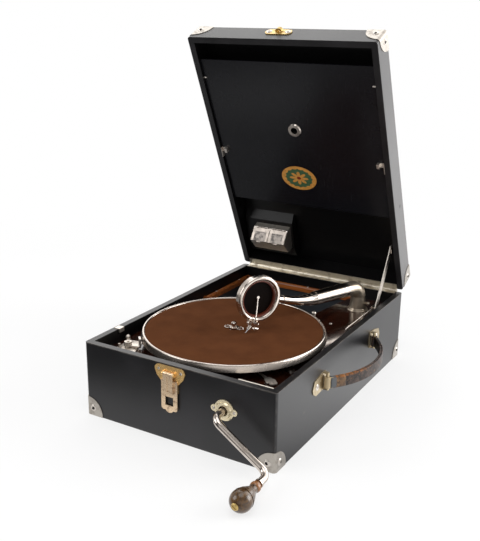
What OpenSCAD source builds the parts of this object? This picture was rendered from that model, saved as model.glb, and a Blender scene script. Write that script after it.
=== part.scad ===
// Portable gramophone: case with hinged lid, spring motor, tone arm and soundbox, each piece its own module.
// Units are millimetres. +Z is up, the front of the case faces -Y and the origin is the centre of its underside.

/* [Case] */
// outside width of the case, left to right
case_w = 286; // [260:1:320]
// outside depth of the case, front to back
case_d = 414; // [380:1:450]
// height of the lower case
case_h = 104; // [90:1:130]
// thickness of the wooden walls
wall_t = 8.2; // [6:0.1:12]
// thickness of the leathercloth over the wood
cloth_t = 0.8; // [0.4:0.1:1.5]
// thickness of the floor board
floor_t = 6; // [4:0.5:10]
// rounding of the upright edges
edge_r = 4; // [2:0.5:8]
// thickness of the motor board
board_t = 6; // [5:0.5:9]
// depth of the motor board below the rim
board_drop = 19; // [15:1:30]
// where the horn mouth starts, measured from the middle
mouth_front = 62; // [58:1:90]
// height of the bead over the motor board
bead_rise = 3; // [2:0.5:6]
// sheet thickness of the corner plates
plate_t = 0.8; // [0.5:0.1:1.5]
// distance of a corner plate's lobe centre from the edges
lobe_in = 2.5; // [1:0.5:18]
// radius of a corner plate's lobe
lobe_r = 24; // [12:0.5:28]
// distance of a corner plate's screws from the edges
screw_in = 11; // [8:0.5:18]

/* [Lid] */
// depth of the lid
lid_h = 32; // [25:1:45]
// opening angle of the lid
lid_open = 65.4; // [50:0.1:75]
// distance of the hinge pin behind the case
hinge_back = 4; // [3:0.5:6]
// radius of the hinge knuckles
knuckle_r = 2.6; // [2:0.1:4]
// number of hinge knuckles
knuckles = 14; // [8:2:20]
// thickness of the lid's panel
panel_t = 4.2; // [3:0.2:6]
// front edge of the record plate
rec_front = -171; // [-180:1:-150]
// back edge of the record plate
rec_back = 71; // [60:1:90]
// depth of the record plate inside the rim
rec_in = 4; // [3.5:0.5:8]
// width of the needle box
nbox_w = 62; // [50:1:70]
// centre of the needle box from the middle
nbox_x = -79; // [-90:1:-60]

/* [Turntable] */
// radius of the turntable
tt_r = 127; // [120:0.5:130]
// centre of the turntable behind the front of the case
tt_in = 142; // [140:1:147]
// height of the turntable's rim
tt_top = 106.6; // [105:0.1:108]
// depth of the rim
tt_rim = 9; // [7:0.5:14]
// radius of the spindle where it carries the turntable
spin_r = 4.2; // [3.9:0.1:5]
// radius of the pin for the record's hole
pin_r = 3.6; // [3.5:0.05:3.7]
// height of the spindle's tip
spin_top = 115; // [110:1:120]

/* [Tone arm] */
// pivot of the tone arm, from the middle
arm_x = 92.5; // [85:0.5:100]
// pivot of the tone arm, behind the middle
arm_y = 150; // [140:1:160]
// angle of the arm's plane from straight ahead
arm_turn = -21.87; // [-30:0.01:0]
// height of the arm tube's axis
arm_z = 121.1; // [110:0.1:130]
// radius of the tube at the back
tube_r = 11; // [9:0.1:12]
// radius of the tube where the gooseneck starts
tube_r2 = 10.2; // [8:0.1:11]
// radius of the gooseneck at its thin end
neck_r = 5.4; // [5:0.1:8]
// rise of the gooseneck
neck_rise = 16.5; // [8:0.5:25]
// running clearance of turning joints
run_gap = 0.05; // [0.02:0.01:0.1]

/* [Soundbox] */
// outer radius of the soundbox
sb_r = 32.5; // [26:0.5:36]
// radius of its front opening
sb_open = 25.8; // [22:0.1:30]
// thickness of the soundbox
sb_t = 13; // [10:0.5:18]
// distance of its front face from the arm's axis
sb_off = 23.6; // [22:0.1:26]
// distance of its centre from the arm's pivot
sb_reach = 208.9; // [205:0.1:220]
// angle by which its face turns towards the front
sb_yaw = 8; // [0:0.5:12]
// height of its centre over the neck's axis
sb_up = 2.5; // [0:0.1:4]
// lean of the stylus bar
bar_lean = 19; // [15:1:30]
// extra forward angle of the needle
needle_lean = 26; // [15:1:35]

/* [Motor] */
// height of the motor frame's lower plate
frame_z = 20; // [15:1:25]
// height of the motor frame's upper plate
top_z = 73; // [70:0.5:75]
// teeth of the great wheel
great_n = 84; // [60:1:96]
// teeth of the centre wheel
wheel_n = 72; // [60:1:84]
// teeth of each pinion
pin_n = 12; // [10:1:16]
// teeth of the crown wheel
crown_n = 48; // [36:12:60]
// tooth module of the great wheel and crown wheel
mod_a = 0.9; // [0.7:0.1:1.2]
// tooth module of the centre wheel
mod_b = 0.7; // [0.6:0.1:1]
// teeth of the worm wheel
worm_n = 30; // [24:1:40]
// tooth module of the worm wheel
mod_w = 0.7; // [0.5:0.1:1]
// radius of the mainspring barrel
barrel_r = 34; // [28:1:35]

/* [Crank] */
// height of the crank's axis
crank_z = 64; // [62:1:66]
// distance of the crank's arm in front of the case
crank_gap = 25; // [19:1:43]
// length of the crank's arm
throw_l = 90; // [70:0.5:90]
// angle of the crank's arm below level
throw_a = 34; // [0:1:34]
// radius of the crank rod
rod_r = 4.75; // [4:0.25:6]
// bend radius of the crank rod
bend_r = 12; // [8:1:16]
// largest radius of the grip
grip_r = 13.4; // [11:0.1:13.4]

/* [Hardware] */
// centre of the front latch
latch_x = -6; // [-12:1:12]
// height of the latch's pin
latch_z = 93; // [88:1:96]
// half the distance between the handle's keepers
handle_y = 80; // [70:1:95]
// middle height of the handle
handle_z = 70; // [60:1:80]
// how far the handle stands out
handle_out = 39; // [30:1:50]

/* [Hidden] */
$fn = 64;
hx = case_w / 2;
hd = case_d / 2;
tt_y = tt_in - hd;
in_x = hx - cloth_t - wall_t;
in_y = hd - cloth_t - wall_t;
bt = case_h - board_drop;
bb = bt - board_t;
hinge_y = hd + hinge_back;
lid_top = case_h + lid_h;
leaf_t = 0.9;
inter_x = (wheel_n + pin_n) * mod_b / 2;
barrel_x = inter_x + (great_n + pin_n) * mod_a / 2;
crank_x = barrel_x;
crank_out = hd + crank_gap;
crown_r = crown_n * mod_a / 2;
gov_x = -(worm_n * mod_w / 2 + 3);
gov_z = 50;
speed_x = 62;
speed_y = 81 - hd;
speed_a = -30.3;
brake_x = 22 - in_x;
brake_y = 51 - hd;
motor_x1 = in_x - 16;
motor_half = 48;
hinge_l = in_x - 1;
rail_x = in_x - 17;
rail_z = bt + 6;
rail_back = hd - 50;
rail_front = hd - 157;
rest_y = hd - 57;
stay_cy = -69;
stay_cz = 20;
stay_uy = hinge_y + stay_cy * cos(lid_open) + stay_cz * sin(lid_open);
stay_uz = case_h - stay_cy * sin(lid_open) + stay_cz * cos(lid_open);
stay_a = atan2(stay_uy - rest_y, stay_uz - rail_z);
stay_l = sqrt(pow(stay_uy - rest_y, 2) + pow(stay_uz - rail_z, 2));
arm_r = 166;
arm_s = 92;
arm_e = arm_s + arm_r * sin(neck_rise);
neck_l = (sb_reach - arm_e) / cos(neck_rise);
arm_ez = arm_z + arm_r * (1 - cos(neck_rise));
sb_z = arm_ez + (sb_reach - arm_e) * tan(neck_rise);

function trapezoid(n, m, i, k) =
  let (p = 360 / n)
  let (s = [-0.33, -0.1, 0.1, 0.33][k])
  let (r = m * n / 2 + [-1.15, 0.85, 0.85, -1.15][k] * m)
  [r * cos((i + s) * p), r * sin((i + s) * p)];

module gear(n, m, h) {
  linear_extrude(height = h) polygon([for (i = [0 : n - 1], k = [0 : 3]) trapezoid(n, m, i, k)]);
}

module ring(r_out, r_in, h) {
  difference() {
    cylinder(r = r_out, h = h);
    translate([0, 0, -1]) cylinder(r = r_in, h = h + 2);
  }
}

module rbox(w, d, z0, z1, r) {
  translate([-w / 2 + r, -d / 2, z0]) cube([w - 2 * r, d, z1 - z0]);
  translate([-w / 2, -d / 2 + r, z0]) cube([w, d - 2 * r, z1 - z0]);
  for (x = [-1, 1], y = [-1, 1])
    translate([x * (w / 2 - r), y * (d / 2 - r), z0]) cylinder(r = r, h = z1 - z0);
}

module box(x0, x1, y0, y1, z0, z1) {
  translate([x0, y0, z0]) cube([x1 - x0, y1 - y0, z1 - z0]);
}

module on_lid() {
  translate([0, hinge_y, case_h]) rotate([-lid_open, 0, 0]) translate([0, -hinge_y, -case_h]) children();
}

// a slotted screw with its cup washer, axis out along +Z
module cup_screw(l) {
  cylinder(r1 = 4.5, r2 = 3.8, h = 0.7);
  difference() {
    translate([0, 0, 0.4]) cylinder(r1 = 2.4, r2 = 1.6, h = 1);
    translate([-3, -0.3, 1]) cube([6, 0.6, 1]);
  }
  translate([0, 0, -l]) cylinder(r = 1.2, h = l + 0.2);
}

// a small slotted screw without washer
module small_screw(l) {
  difference() {
    cylinder(r1 = 2.1, r2 = 1.4, h = 0.9);
    translate([-3, -0.25, 0.5]) cube([6, 0.5, 1]);
  }
  translate([0, 0, -l]) cylinder(r = 1, h = l + 0.2);
}

// places children at the foot of each corner plate's lobe centre
module at_corner_lobes() {
  for (sx = [-1, 1], sy = [-1, 1])
    translate([sx * (hx + plate_t - lobe_in), sy * (hd + plate_t - lobe_in), 0]) children();
}

// places children at each visible corner plate screw of a box standing at z = 0
module at_corner_screws() {
  for (sx = [-1, 1], sy = [-1, 1]) {
    translate([sx * (hx + plate_t - screw_in), sy * (hd + plate_t), screw_in]) rotate([-sy * 90, 0, 0]) children();
    translate([sx * (hx + plate_t), sy * (hd + plate_t - screw_in), screw_in]) rotate([0, sx * 90, 0]) children();
  }
}

module at_corner_pins() {
  for (sx = [-1, 1], sy = [-1, 1])
    translate([sx * (hx + plate_t - screw_in), sy * (hd + plate_t - screw_in), 0]) children();
}

// four corner plates on the foot of a box, the lobe under the box lies from -sink upwards
module corner_plates(sink) {
  difference() {
    intersection() {
      translate([0, 0, -sink]) rbox(case_w + 2 * plate_t, case_d + 2 * plate_t, 0, 36, edge_r + plate_t);
      union() {
        for (sx = [-1, 1], sy = [-1, 1]) {
          translate([sx * (hx + plate_t - lobe_in), sy * (hd - 4.5), lobe_in]) rotate([-sy * 90, 0, 0])
            cylinder(r = lobe_r, h = 8);
          translate([sx * (hx - 4.5), sy * (hd + plate_t - lobe_in), lobe_in]) rotate([0, sx * 90, 0])
            cylinder(r = lobe_r, h = 8);
          translate([sx * (hx + plate_t - lobe_in), sy * (hd + plate_t - lobe_in), -sink])
            cylinder(r = lobe_r, h = plate_t);
        }
      }
    }
    rbox(case_w, case_d, plate_t - sink, 40, edge_r);
    at_corner_screws() translate([0, 0, -4]) cylinder(r = 1.25, h = 6);
    at_corner_pins() translate([0, 0, -4]) cylinder(r = 2.5, h = 8);
  }
}

module corner_fixings(sink) {
  at_corner_screws() cup_screw(6);
  at_corner_pins() translate([0, 0, -sink]) cylinder(r = 2.48, h = plate_t + 3);
}

module corner_holes(sink) {
  at_corner_screws() translate([0, 0, -8]) cylinder(r = 1.22, h = 9);
  at_corner_pins() translate([0, 0, -sink - 1]) cylinder(r = 2.5, h = plate_t + 4.1);
}

module at_latch_screws() {
  for (s = [-1, 1]) translate([latch_x + s * 16.5, -hd - 1.2, 96]) rotate([90, 0, 0]) children();
}

module at_escutcheon_screws() {
  for (s = [-1, 1]) translate([crank_x + s * 14.2, -hd - 1.2, crank_z]) rotate([90, 0, 0]) children();
}

module at_handle_screws() {
  for (s = [-1, 1]) translate([hx + 1.2, s * 100, handle_z - 2]) rotate([0, 90, 0]) children();
}

module at_motor_bolts() {
  for (x = [-38, motor_x1 - 8], s = [-1, 1]) translate([x, tt_y + s * (motor_half - 6), 0]) children();
}

module at_board_screws() {
  b = in_x - 4.5;
  for (p = [[-b, 23 - hd], [b, 23 - hd], [-b, -20], [b, -20], [b, hd - 31], [84, 70]])
    translate([p[0], p[1], bt]) children();
}

module mouth_area(grow, z0, z1) {
  translate([0, 0, z0]) linear_extrude(height = z1 - z0)
    polygon([[-in_x - 1, mouth_front - grow], [41 + grow, mouth_front - grow], [64.4 + grow, in_y + 1],
      [-in_x - 1, in_y + 1]]);
}

module base_frame() {
  color("BurlyWood") {
    difference() {
      rbox(case_w - 2 * cloth_t, case_d - 2 * cloth_t, cloth_t, case_h - cloth_t, edge_r - cloth_t);
      box(-in_x, in_x, -in_y, in_y, -1, case_h + 1);
      translate([crank_x, -hd - 1, crank_z]) rotate([-90, 0, 0]) cylinder(r = 9, h = 14);
      box(-hinge_l - 0.3, hinge_l + 0.3, in_y - 1, hd + 1, case_h - leaf_t, case_h + 1);
      corner_holes(0);
      at_latch_screws() translate([0, 0, -9]) cylinder(r = 1.02, h = 9);
      at_escutcheon_screws() translate([0, 0, -9]) cylinder(r = 1.02, h = 9);
      at_handle_screws() translate([0, 0, -9]) cylinder(r = 1.22, h = 9);
    }
    box(in_x - 9, in_x, 17 - hd, hd - 17, bb - 12, bb);
    box(-in_x, -in_x + 9, 17 - hd, mouth_front - 6, bb - 12, bb);
  }
}

module base_floor() {
  color("Tan") difference() {
    box(-in_x, in_x, -in_y, in_y, cloth_t, cloth_t + floor_t);
    corner_holes(0);
  }
}

module base_cloth() {
  color("DimGray") difference() {
    rbox(case_w, case_d, 0, case_h, edge_r);
    rbox(case_w - 2 * cloth_t, case_d - 2 * cloth_t, cloth_t, case_h - cloth_t, edge_r - cloth_t);
    box(-in_x, in_x, -in_y, in_y, 50, case_h + 1);
    box(-hinge_l - 0.3, hinge_l + 0.3, in_y - 1, hd + 1, case_h - leaf_t, case_h + 1);
    at_corner_lobes() translate([0, 0, -1]) cylinder(r = lobe_r + 0.1, h = 1 + plate_t);
    translate([crank_x, -hd - 1, crank_z]) rotate([-90, 0, 0]) cylinder(r = 9, h = 14);
    corner_holes(0);
    at_latch_screws() translate([0, 0, -4]) cylinder(r = 1.05, h = 5);
    at_escutcheon_screws() translate([0, 0, -4]) cylinder(r = 1.05, h = 5);
    at_handle_screws() translate([0, 0, -4]) cylinder(r = 1.25, h = 5);
  }
}

module motor_board() {
  color("SaddleBrown") difference() {
    box(-in_x + 0.2, in_x - 0.2, -in_y + 0.2, in_y - 0.2, bb, bt);
    mouth_area(0, bb - 1, bt + 1);
    translate([0, tt_y, bb - 1]) cylinder(r = 6.5, h = board_t + 2);
    translate([arm_x, arm_y, bb - 1]) cylinder(r = 12.6, h = board_t + 2);
    translate([speed_x, speed_y, bb - 1]) cylinder(r = 2.05, h = board_t + 2);
    at_motor_bolts() translate([0, 0, bb - 1]) cylinder(r = 2.4, h = board_t + 2);
    at_board_screws() translate([0, 0, -10]) cylinder(r = 1.02, h = 11);
    translate([brake_x, brake_y, bb - 1]) cylinder(r = 2.02, h = board_t + 2);
    for (y = [rail_front, rail_back]) translate([rail_x, y, bb - 1]) cylinder(r = 1.52, h = board_t + 2);
  }
}

module case_screws() {
  color("Silver") {
    corner_fixings(0);
    at_latch_screws() small_screw(6);
    at_escutcheon_screws() small_screw(6);
    at_handle_screws() cup_screw(6);
    at_board_screws() small_screw(board_t - 1);
    at_bead_screws() small_screw(5);
    at_motor_bolts() {
      translate([0, 0, bt]) cylinder(r = 4.5, h = 2);
      translate([0, 0, top_z - 5]) cylinder(r = 2.35, h = bt - top_z + 6);
    }
  }
}

// one length of half-round bead along +Y, resting on z = 0 at its wall side x = 0
module bead_bar(l, h) {
  cube([7, l, h - 3.5]);
  intersection() {
    translate([3.5, 0, h - 3.5]) rotate([-90, 0, 0]) cylinder(r = 3.5, h = l);
    translate([0, 0, h - 3.6]) cube([7, l, 5]);
  }
}

module at_bead_screws() {
  for (p = [[-in_x + 3.5, 96], [-in_x + 3.5, 168], [-92, in_y - 3.5], [-14, in_y - 3.5]])
    translate([p[0], p[1], bt + bead_rise - 0.4]) children();
}

module mouth_bead() {
  h = bt + bead_rise - bb;
  color("Peru") difference() {
    union() {
      translate([-in_x, mouth_front, bb]) bead_bar(in_y - mouth_front, h);
      translate([-in_x + 7, in_y, bb]) rotate([0, 0, -90]) bead_bar(55.8 + in_x, h);
      translate([-in_x, mouth_front + 7, bb]) rotate([0, 0, -90]) bead_bar(25, h);
    }
    at_bead_screws() cylinder(r = 2.2, h = 2);
    at_bead_screws() translate([0, 0, -6]) cylinder(r = 1.02, h = 7);
  }
}

// folded sheet horn: duct from under the tone arm, then a bowl with a sloping floor that opens at the mouth
module horn() {
  color("SlateGray") difference() {
    union() {
      difference() {
        translate([0, 0, 12]) linear_extrude(height = bb - 12)
          polygon([[-in_x + 0.6, 61], [41.5, 61], [65.4, in_y - 0.6], [-in_x + 0.6, in_y - 0.6]]);
        translate([0, 0, 11]) linear_extrude(height = bb)
          polygon([[-in_x + 1.6, 62], [40.6, 62], [64.2, in_y - 1.6], [-in_x + 1.6, in_y - 1.6]]);
      }
      intersection() {
        translate([0, 0, 10]) linear_extrude(height = bb)
          polygon([[-in_x + 0.6, 61], [41.5, 61], [65.4, in_y - 0.6], [-in_x + 0.6, in_y - 0.6]]);
        translate([0, in_y + 2, 0]) rotate([90, 0, 0]) linear_extrude(height = in_y - 56)
          polygon([[70, 12], [70, 13.2], [20, 13.2], [-in_x, 56], [-in_x, 54.8], [20, 12]]);
      }
      difference() {
        box(54, 112, 127, 173, 17, 62);
        box(53, 111, 128, 172, 18, 61);
      }
      translate([arm_x, arm_y, 61]) cylinder(r = 13.6, h = bb - 61);
    }
    box(48, 70, 128, 172, 18, 61);
    translate([arm_x, arm_y, 60]) cylinder(r = 12.65, h = bb);
  }
}

module base_corners() {
  color("LightSteelBlue") corner_plates(0);
}

module hinge_knuckle(i, bore) {
  l = 2 * hinge_l / knuckles;
  translate([-hinge_l + i * l + 0.15, hinge_y, case_h]) rotate([0, 90, 0]) difference() {
    cylinder(r = knuckle_r, h = l - 0.3);
    translate([0, 0, -1]) cylinder(r = bore, h = l + 2);
  }
}

module leaf_tab(i, z) {
  l = 2 * hinge_l / knuckles;
  box(-hinge_l + i * l + 0.15, -hinge_l + (i + 1) * l - 0.15, hd, hinge_y - 1.8, z, z + leaf_t);
}

module hinge_base_leaf() {
  color("Silver") {
    box(-hinge_l, hinge_l, in_y + 0.2, hd + 0.9, case_h - leaf_t, case_h);
    for (i = [0 : 2 : knuckles - 1]) {
      hinge_knuckle(i, 1.25);
      leaf_tab(i, case_h - leaf_t);
    }
  }
}

module hinge_lid_leaf() {
  color("Silver") on_lid() {
    box(-hinge_l, hinge_l, in_y + 0.2, hd + 0.9, case_h, case_h + leaf_t);
    for (i = [1 : 2 : knuckles - 1]) {
      hinge_knuckle(i, 1.25);
      leaf_tab(i, case_h);
    }
  }
}

module hinge_pin() {
  color("Gray") translate([-hinge_l - 0.2, hinge_y, case_h]) rotate([0, 90, 0]) {
    cylinder(r = 1.2, h = 2 * hinge_l + 0.4);
    translate([0, 0, -0.8]) cylinder(r = 2.2, h = 0.8);
  }
}

// bent wire on the motor board along which the stay's slider runs
module stay_rail() {
  b = 3;
  color("Silver") {
    for (y = [rail_front, rail_back])
      translate([rail_x, y, bb + 1]) cylinder(r = 1.5, h = rail_z - b - bb - 1);
    translate([rail_x, rail_front + b, rail_z]) rotate([-90, 0, 0])
      cylinder(r = 1.5, h = rail_back - rail_front - 2 * b);
    translate([rail_x, rail_front + b, rail_z - b]) rotate([90, 0, -90]) rotate_extrude(angle = 90)
      translate([b, 0]) circle(r = 1.5);
    translate([rail_x, rail_back - b, rail_z - b]) rotate([90, 0, 90]) rotate_extrude(angle = 90)
      translate([b, 0]) circle(r = 1.5);
  }
}

module stay_slider() {
  color("Silver") {
    translate([rail_x, rest_y - 3.5, rail_z]) rotate([-90, 0, 0]) ring(3, 1.5 + run_gap, 7);
    translate([rail_x + 2.2, rest_y, rail_z]) rotate([0, 90, 0]) cylinder(r = 1.4, h = 4.8);
    translate([rail_x + 6.2, rest_y, rail_z]) rotate([0, 90, 0]) cylinder(r = 2.6, h = 1);
  }
}

module stay_bar() {
  color("Silver") translate([rail_x + 4.4, rest_y, rail_z]) rotate([-stay_a, 0, 0]) {
    difference() {
      union() {
        rotate([0, 90, 0]) cylinder(r = 4.5, h = 1.6);
        box(0, 1.6, -4.5, 4.5, 0, stay_l);
        translate([0, 0, stay_l]) rotate([0, 90, 0]) cylinder(r = 4.5, h = 1.6);
      }
      translate([-1, 0, 0]) rotate([0, 90, 0]) cylinder(r = 1.4 + run_gap, h = 4);
    }
    translate([-0.9, 0, stay_l]) rotate([0, 90, 0]) cylinder(r = 2.6, h = 1);
  }
}

// corner bracket in the lid that carries the upper end of the stay
module stay_bracket() {
  y = hinge_y + stay_cy;
  color("Silver") on_lid() {
    box(rail_x + 6.4, in_x, y - 6, y + 6, lid_top - panel_t - cloth_t - 1.2, lid_top - panel_t - cloth_t);
    box(rail_x + 6.4, rail_x + 7.6, y - 6, y + 6, case_h + 14, lid_top - panel_t - cloth_t);
  }
}

module latch_plate() {
  color("Goldenrod") difference() {
    union() {
      translate([latch_x, -hd, 0]) rotate([90, 0, 0]) linear_extrude(height = 1.2) {
        polygon([[-16.5, 102], [16.5, 102], [22.5, 96], [20, 88], [12, 79], [12, 68], [-12, 68], [-12, 79],
          [-20, 88], [-22.5, 96]]);
        for (s = [-1, 1]) translate([s * 16.5, 96]) circle(r = 6);
      }
      for (s = [-1, 1]) {
        translate([latch_x + s * 8.4 - 0.8, -hd - 3.8, latch_z]) rotate([0, 90, 0]) cylinder(r = 2.6, h = 1.6);
        box(latch_x + s * 8.4 - 0.8, latch_x + s * 8.4 + 0.8, -hd - 3.8, -hd - 1, latch_z - 2.6, latch_z + 2.6);
      }
      translate([latch_x - 8, -hd - 3.8, latch_z]) rotate([0, 90, 0]) cylinder(r = 1.2, h = 16);
    }
    at_latch_screws() translate([0, 0, -4]) cylinder(r = 1.05, h = 5);
  }
}

module latch_hasp() {
  y = -hd - 3.8;
  color("Goldenrod") difference() {
    union() {
      translate([latch_x - 7.4, y, latch_z]) rotate([0, 90, 0]) cylinder(r = 2.4, h = 14.8);
      box(latch_x - 7.4, latch_x + 7.4, y - 2.4, y - 1.2, 80, latch_z);
      box(latch_x - 12, latch_x + 12, y + 0.8, y + 2.2, 46, 84);
      box(latch_x - 7.4, latch_x + 7.4, y - 2.4, y + 2.2, 68, 84);
      translate([latch_x, y + 2.2, 47]) rotate([90, 0, 0]) cylinder(r = 7, h = 1.4);
      for (s = [-1, 1]) translate([latch_x + s * 8, y + 2.2, 47]) rotate([90, 0, 0]) cylinder(r = 4, h = 1.4);
    }
    box(latch_x - 6, latch_x + 6, y, y + 3, 49.5, 61.5);
    box(latch_x - 1, latch_x + 1, y - 3, y - 1.9, 70, 90);
    translate([latch_x - 9, y, latch_z]) rotate([0, 90, 0]) cylinder(r = 1.2 + run_gap, h = 18);
  }
}

module lid_keeper() {
  z = case_h + 20;
  color("Goldenrod") on_lid() {
    difference() {
      union() {
        for (s = [-1, 1]) translate([latch_x + s * 13, -hd, z]) rotate([90, 0, 0]) cylinder(r = 7, h = 1.2);
        box(latch_x - 13, latch_x + 13, -hd - 1.2, -hd, z - 7, z + 7);
      }
      for (s = [-1, 1])
        translate([latch_x + s * 14.4, -hd - 2, z]) rotate([-90, 0, 0]) cylinder(r = 1.25, h = 4);
    }
    translate([latch_x, -hd - 0.6, z + 2.5]) rotate([0, 0, 180]) rotate_extrude(angle = 180)
      translate([4, 0]) square([2.6, 5], center = true);
  }
}

module escutcheon() {
  color("PaleGoldenrod") translate([crank_x, -hd, crank_z]) rotate([90, 0, 0]) difference() {
    union() {
      cylinder(r = 13.5, h = 1.2);
      for (s = [-1, 1]) translate([s * 14.2, 0, 0]) cylinder(r = 4.2, h = 1.2);
      cylinder(r1 = 11.5, r2 = 9.6, h = 3.6);
      translate([0, 0, -8.9]) cylinder(r = 8.9, h = 9);
    }
    translate([0, 0, -12]) cylinder(r = 6.6, h = 20);
    for (s = [-1, 1]) translate([s * 14.2, 0, -1]) cylinder(r = 1.05, h = 4);
  }
}

module handle_plates() {
  color("DarkKhaki") for (s = [-1, 1]) {
    difference() {
      translate([hx, 0, handle_z]) rotate([90, 0, 90]) linear_extrude(height = 1.2)
        polygon([[s * 75, 12], [s * 75, -12], [s * 88, -12], [s * 103, -13], [s * 111, -8], [s * 113, -2],
          [s * 108, 8], [s * 90, 12]]);
      at_handle_screws() translate([0, 0, -4]) cylinder(r = 1.25, h = 5);
    }
    for (z = [-1, 1])
      box(hx, hx + 6, s * handle_y - 2.2, s * handle_y + 2.2, handle_z + z * 11.3 - 0.9, handle_z + z * 11.3 + 0.9);
    translate([hx + 6, s * handle_y, handle_z - 12.2]) cylinder(r = 2.2, h = 24.4);
  }
}

// leather carrying strap, looped round the two keeper bars
module handle_strap() {
  sag = handle_out - 7;
  r = (handle_y * handle_y + sag * sag) / (2 * sag);
  a = asin((handle_y - 1) / r);
  color("SaddleBrown") translate([0, 0, handle_z - 9.5]) difference() {
    union() {
      translate([hx + handle_out - r, 0, 0]) rotate([0, 0, -a]) rotate_extrude(angle = 2 * a)
        translate([r - 2.5, 0]) square([5, 15.5]);
      for (s = [-1, 1]) translate([hx + 6, s * handle_y, 0]) cylinder(r = 4.7, h = 15.5);
    }
    for (s = [-1, 1]) translate([hx + 6, s * handle_y, -1]) cylinder(r = 2.25, h = 21);
  }
}

module arm_flange() {
  color("Silver") translate([arm_x, arm_y, 0]) difference() {
    union() {
      translate([0, 0, bt]) cylinder(r1 = 16, r2 = 14.8, h = 2);
      translate([0, 0, 64]) cylinder(r = 12.5, h = bt - 63);
    }
    translate([0, 0, 60]) cylinder(r = 11.2, h = 40);
  }
}

// fittings fixed on the board and rim: brake base, stop knob, round disc, front strip and catch
module board_fittings() {
  color("Silver") {
    translate([brake_x, brake_y, bt]) linear_extrude(height = 1.2)
      polygon([[-14, 20], [8, 22], [20, -12], [15, -22], [-10, -16]]);
    translate([brake_x, brake_y, bb + 1]) cylinder(r = 2, h = bt - bb + 9);
    translate([brake_x, brake_y, bt + 1]) cylinder(r = 4, h = 2);
    translate([brake_x - 6, brake_y - 11, bt + 1]) cylinder(r = 1.6, h = 7);
    box(85.6, in_x - 1.1, -in_y, -in_y + 2, case_h - 6, case_h);
    box(-in_x, -in_x + 2.5, 58 - hd, 68 - hd, case_h - 5, case_h + 0.8);
    box(-in_x - 6.5, -in_x + 2.5, 58 - hd, 68 - hd, case_h, case_h + 0.8);
    translate([in_x - 14, 99 - hd, bt]) cylinder(r1 = 4.2, r2 = 3.6, h = 1.6);
    translate([50, 84, bt]) cylinder(r = 2.2, h = 4);
    translate([50, 84, bt + 5]) ball(3.4);
  }
}

// sprung lever with a leather pad that bears on the turntable's rim
module brake_lever() {
  color("Silver") translate([brake_x, brake_y, bt + 3]) {
    difference() {
      union() {
        cylinder(r = 5, h = 5.5);
        rotate([0, 0, 14]) box(0, 18, -4, 4, 0, 1.6);
        rotate([0, 0, 14]) translate([19.2, 0, 0]) rotate([0, 0, 28.8]) box(-3, -0.4, -5, 5, 0, 13);
        rotate([0, 0, 128]) box(0, 19, -2.5, 2.5, 0, 1.6);
      }
      translate([0, 0, -1]) cylinder(r = 2 + run_gap, h = 9);
    }
    rotate([0, 0, 128]) translate([17, 0, 1]) cylinder(r = 1.5, h = 3);
    rotate([0, 0, 128]) translate([17, 0, 5]) ball(3.2);
  }
}

module ball(r) {
  rotate_extrude() intersection() {
    circle(r = r);
    translate([0, -r]) square([r, 2 * r]);
  }
}

module motor_top_plate() {
  color("DarkSlateGray") difference() {
    union() {
      box(-46, motor_x1, tt_y - motor_half, tt_y + motor_half, top_z, top_z + 3);
      at_motor_bolts() translate([0, 0, top_z]) cylinder(r = 6, h = bb - top_z);
      for (y = [tt_y - 44, tt_y - 16.5]) {
        box(crank_x - 6, crank_x + 6, y, y + 3, crank_z, top_z + 1);
        translate([crank_x, y, crank_z]) rotate([-90, 0, 0]) cylinder(r = 6, h = 3);
      }
    }
    at_motor_bolts() translate([0, 0, top_z - 1]) cylinder(r = 2.4, h = bb - top_z + 4);
    translate([0, tt_y, top_z - 1]) cylinder(r = 4 + run_gap, h = 9);
    translate([inter_x, tt_y, top_z - 1]) cylinder(r = 2 + run_gap, h = 9);
    translate([barrel_x, tt_y, top_z - 1]) cylinder(r = 4 + run_gap, h = 9);
    translate([crank_x, tt_y - 50, crank_z]) rotate([-90, 0, 0]) cylinder(r = 3.5 + run_gap, h = 40);
  }
}

module motor_frame() {
  color("DarkSlateGray") difference() {
    union() {
      box(-46, motor_x1, tt_y - motor_half, tt_y + motor_half, frame_z, frame_z + 3);
      at_motor_bolts() translate([0, 0, frame_z]) cylinder(r = 4.5, h = top_z - frame_z);
      for (y = [-112, -26]) {
        box(gov_x - 3.5, gov_x + 3.5, y, y + 3, frame_z, gov_z);
        translate([gov_x, y, gov_z]) rotate([-90, 0, 0]) cylinder(r = 3.5, h = 3);
      }
      translate([barrel_x + 17, tt_y + 15, frame_z]) cylinder(r = 2, h = 9);
    }
    at_motor_bolts() translate([0, 0, top_z - 7]) cylinder(r = 2.4, h = 10);
    translate([0, tt_y, frame_z - 1]) cylinder(r = 3 + run_gap, h = 9);
    translate([inter_x, tt_y, frame_z - 1]) cylinder(r = 2 + run_gap, h = 9);
    translate([barrel_x, tt_y, frame_z - 1]) cylinder(r = 4 + run_gap, h = 9);
    translate([gov_x, -115, gov_z]) rotate([-90, 0, 0]) cylinder(r = 1.6 + run_gap, h = 100);
  }
}

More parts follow.
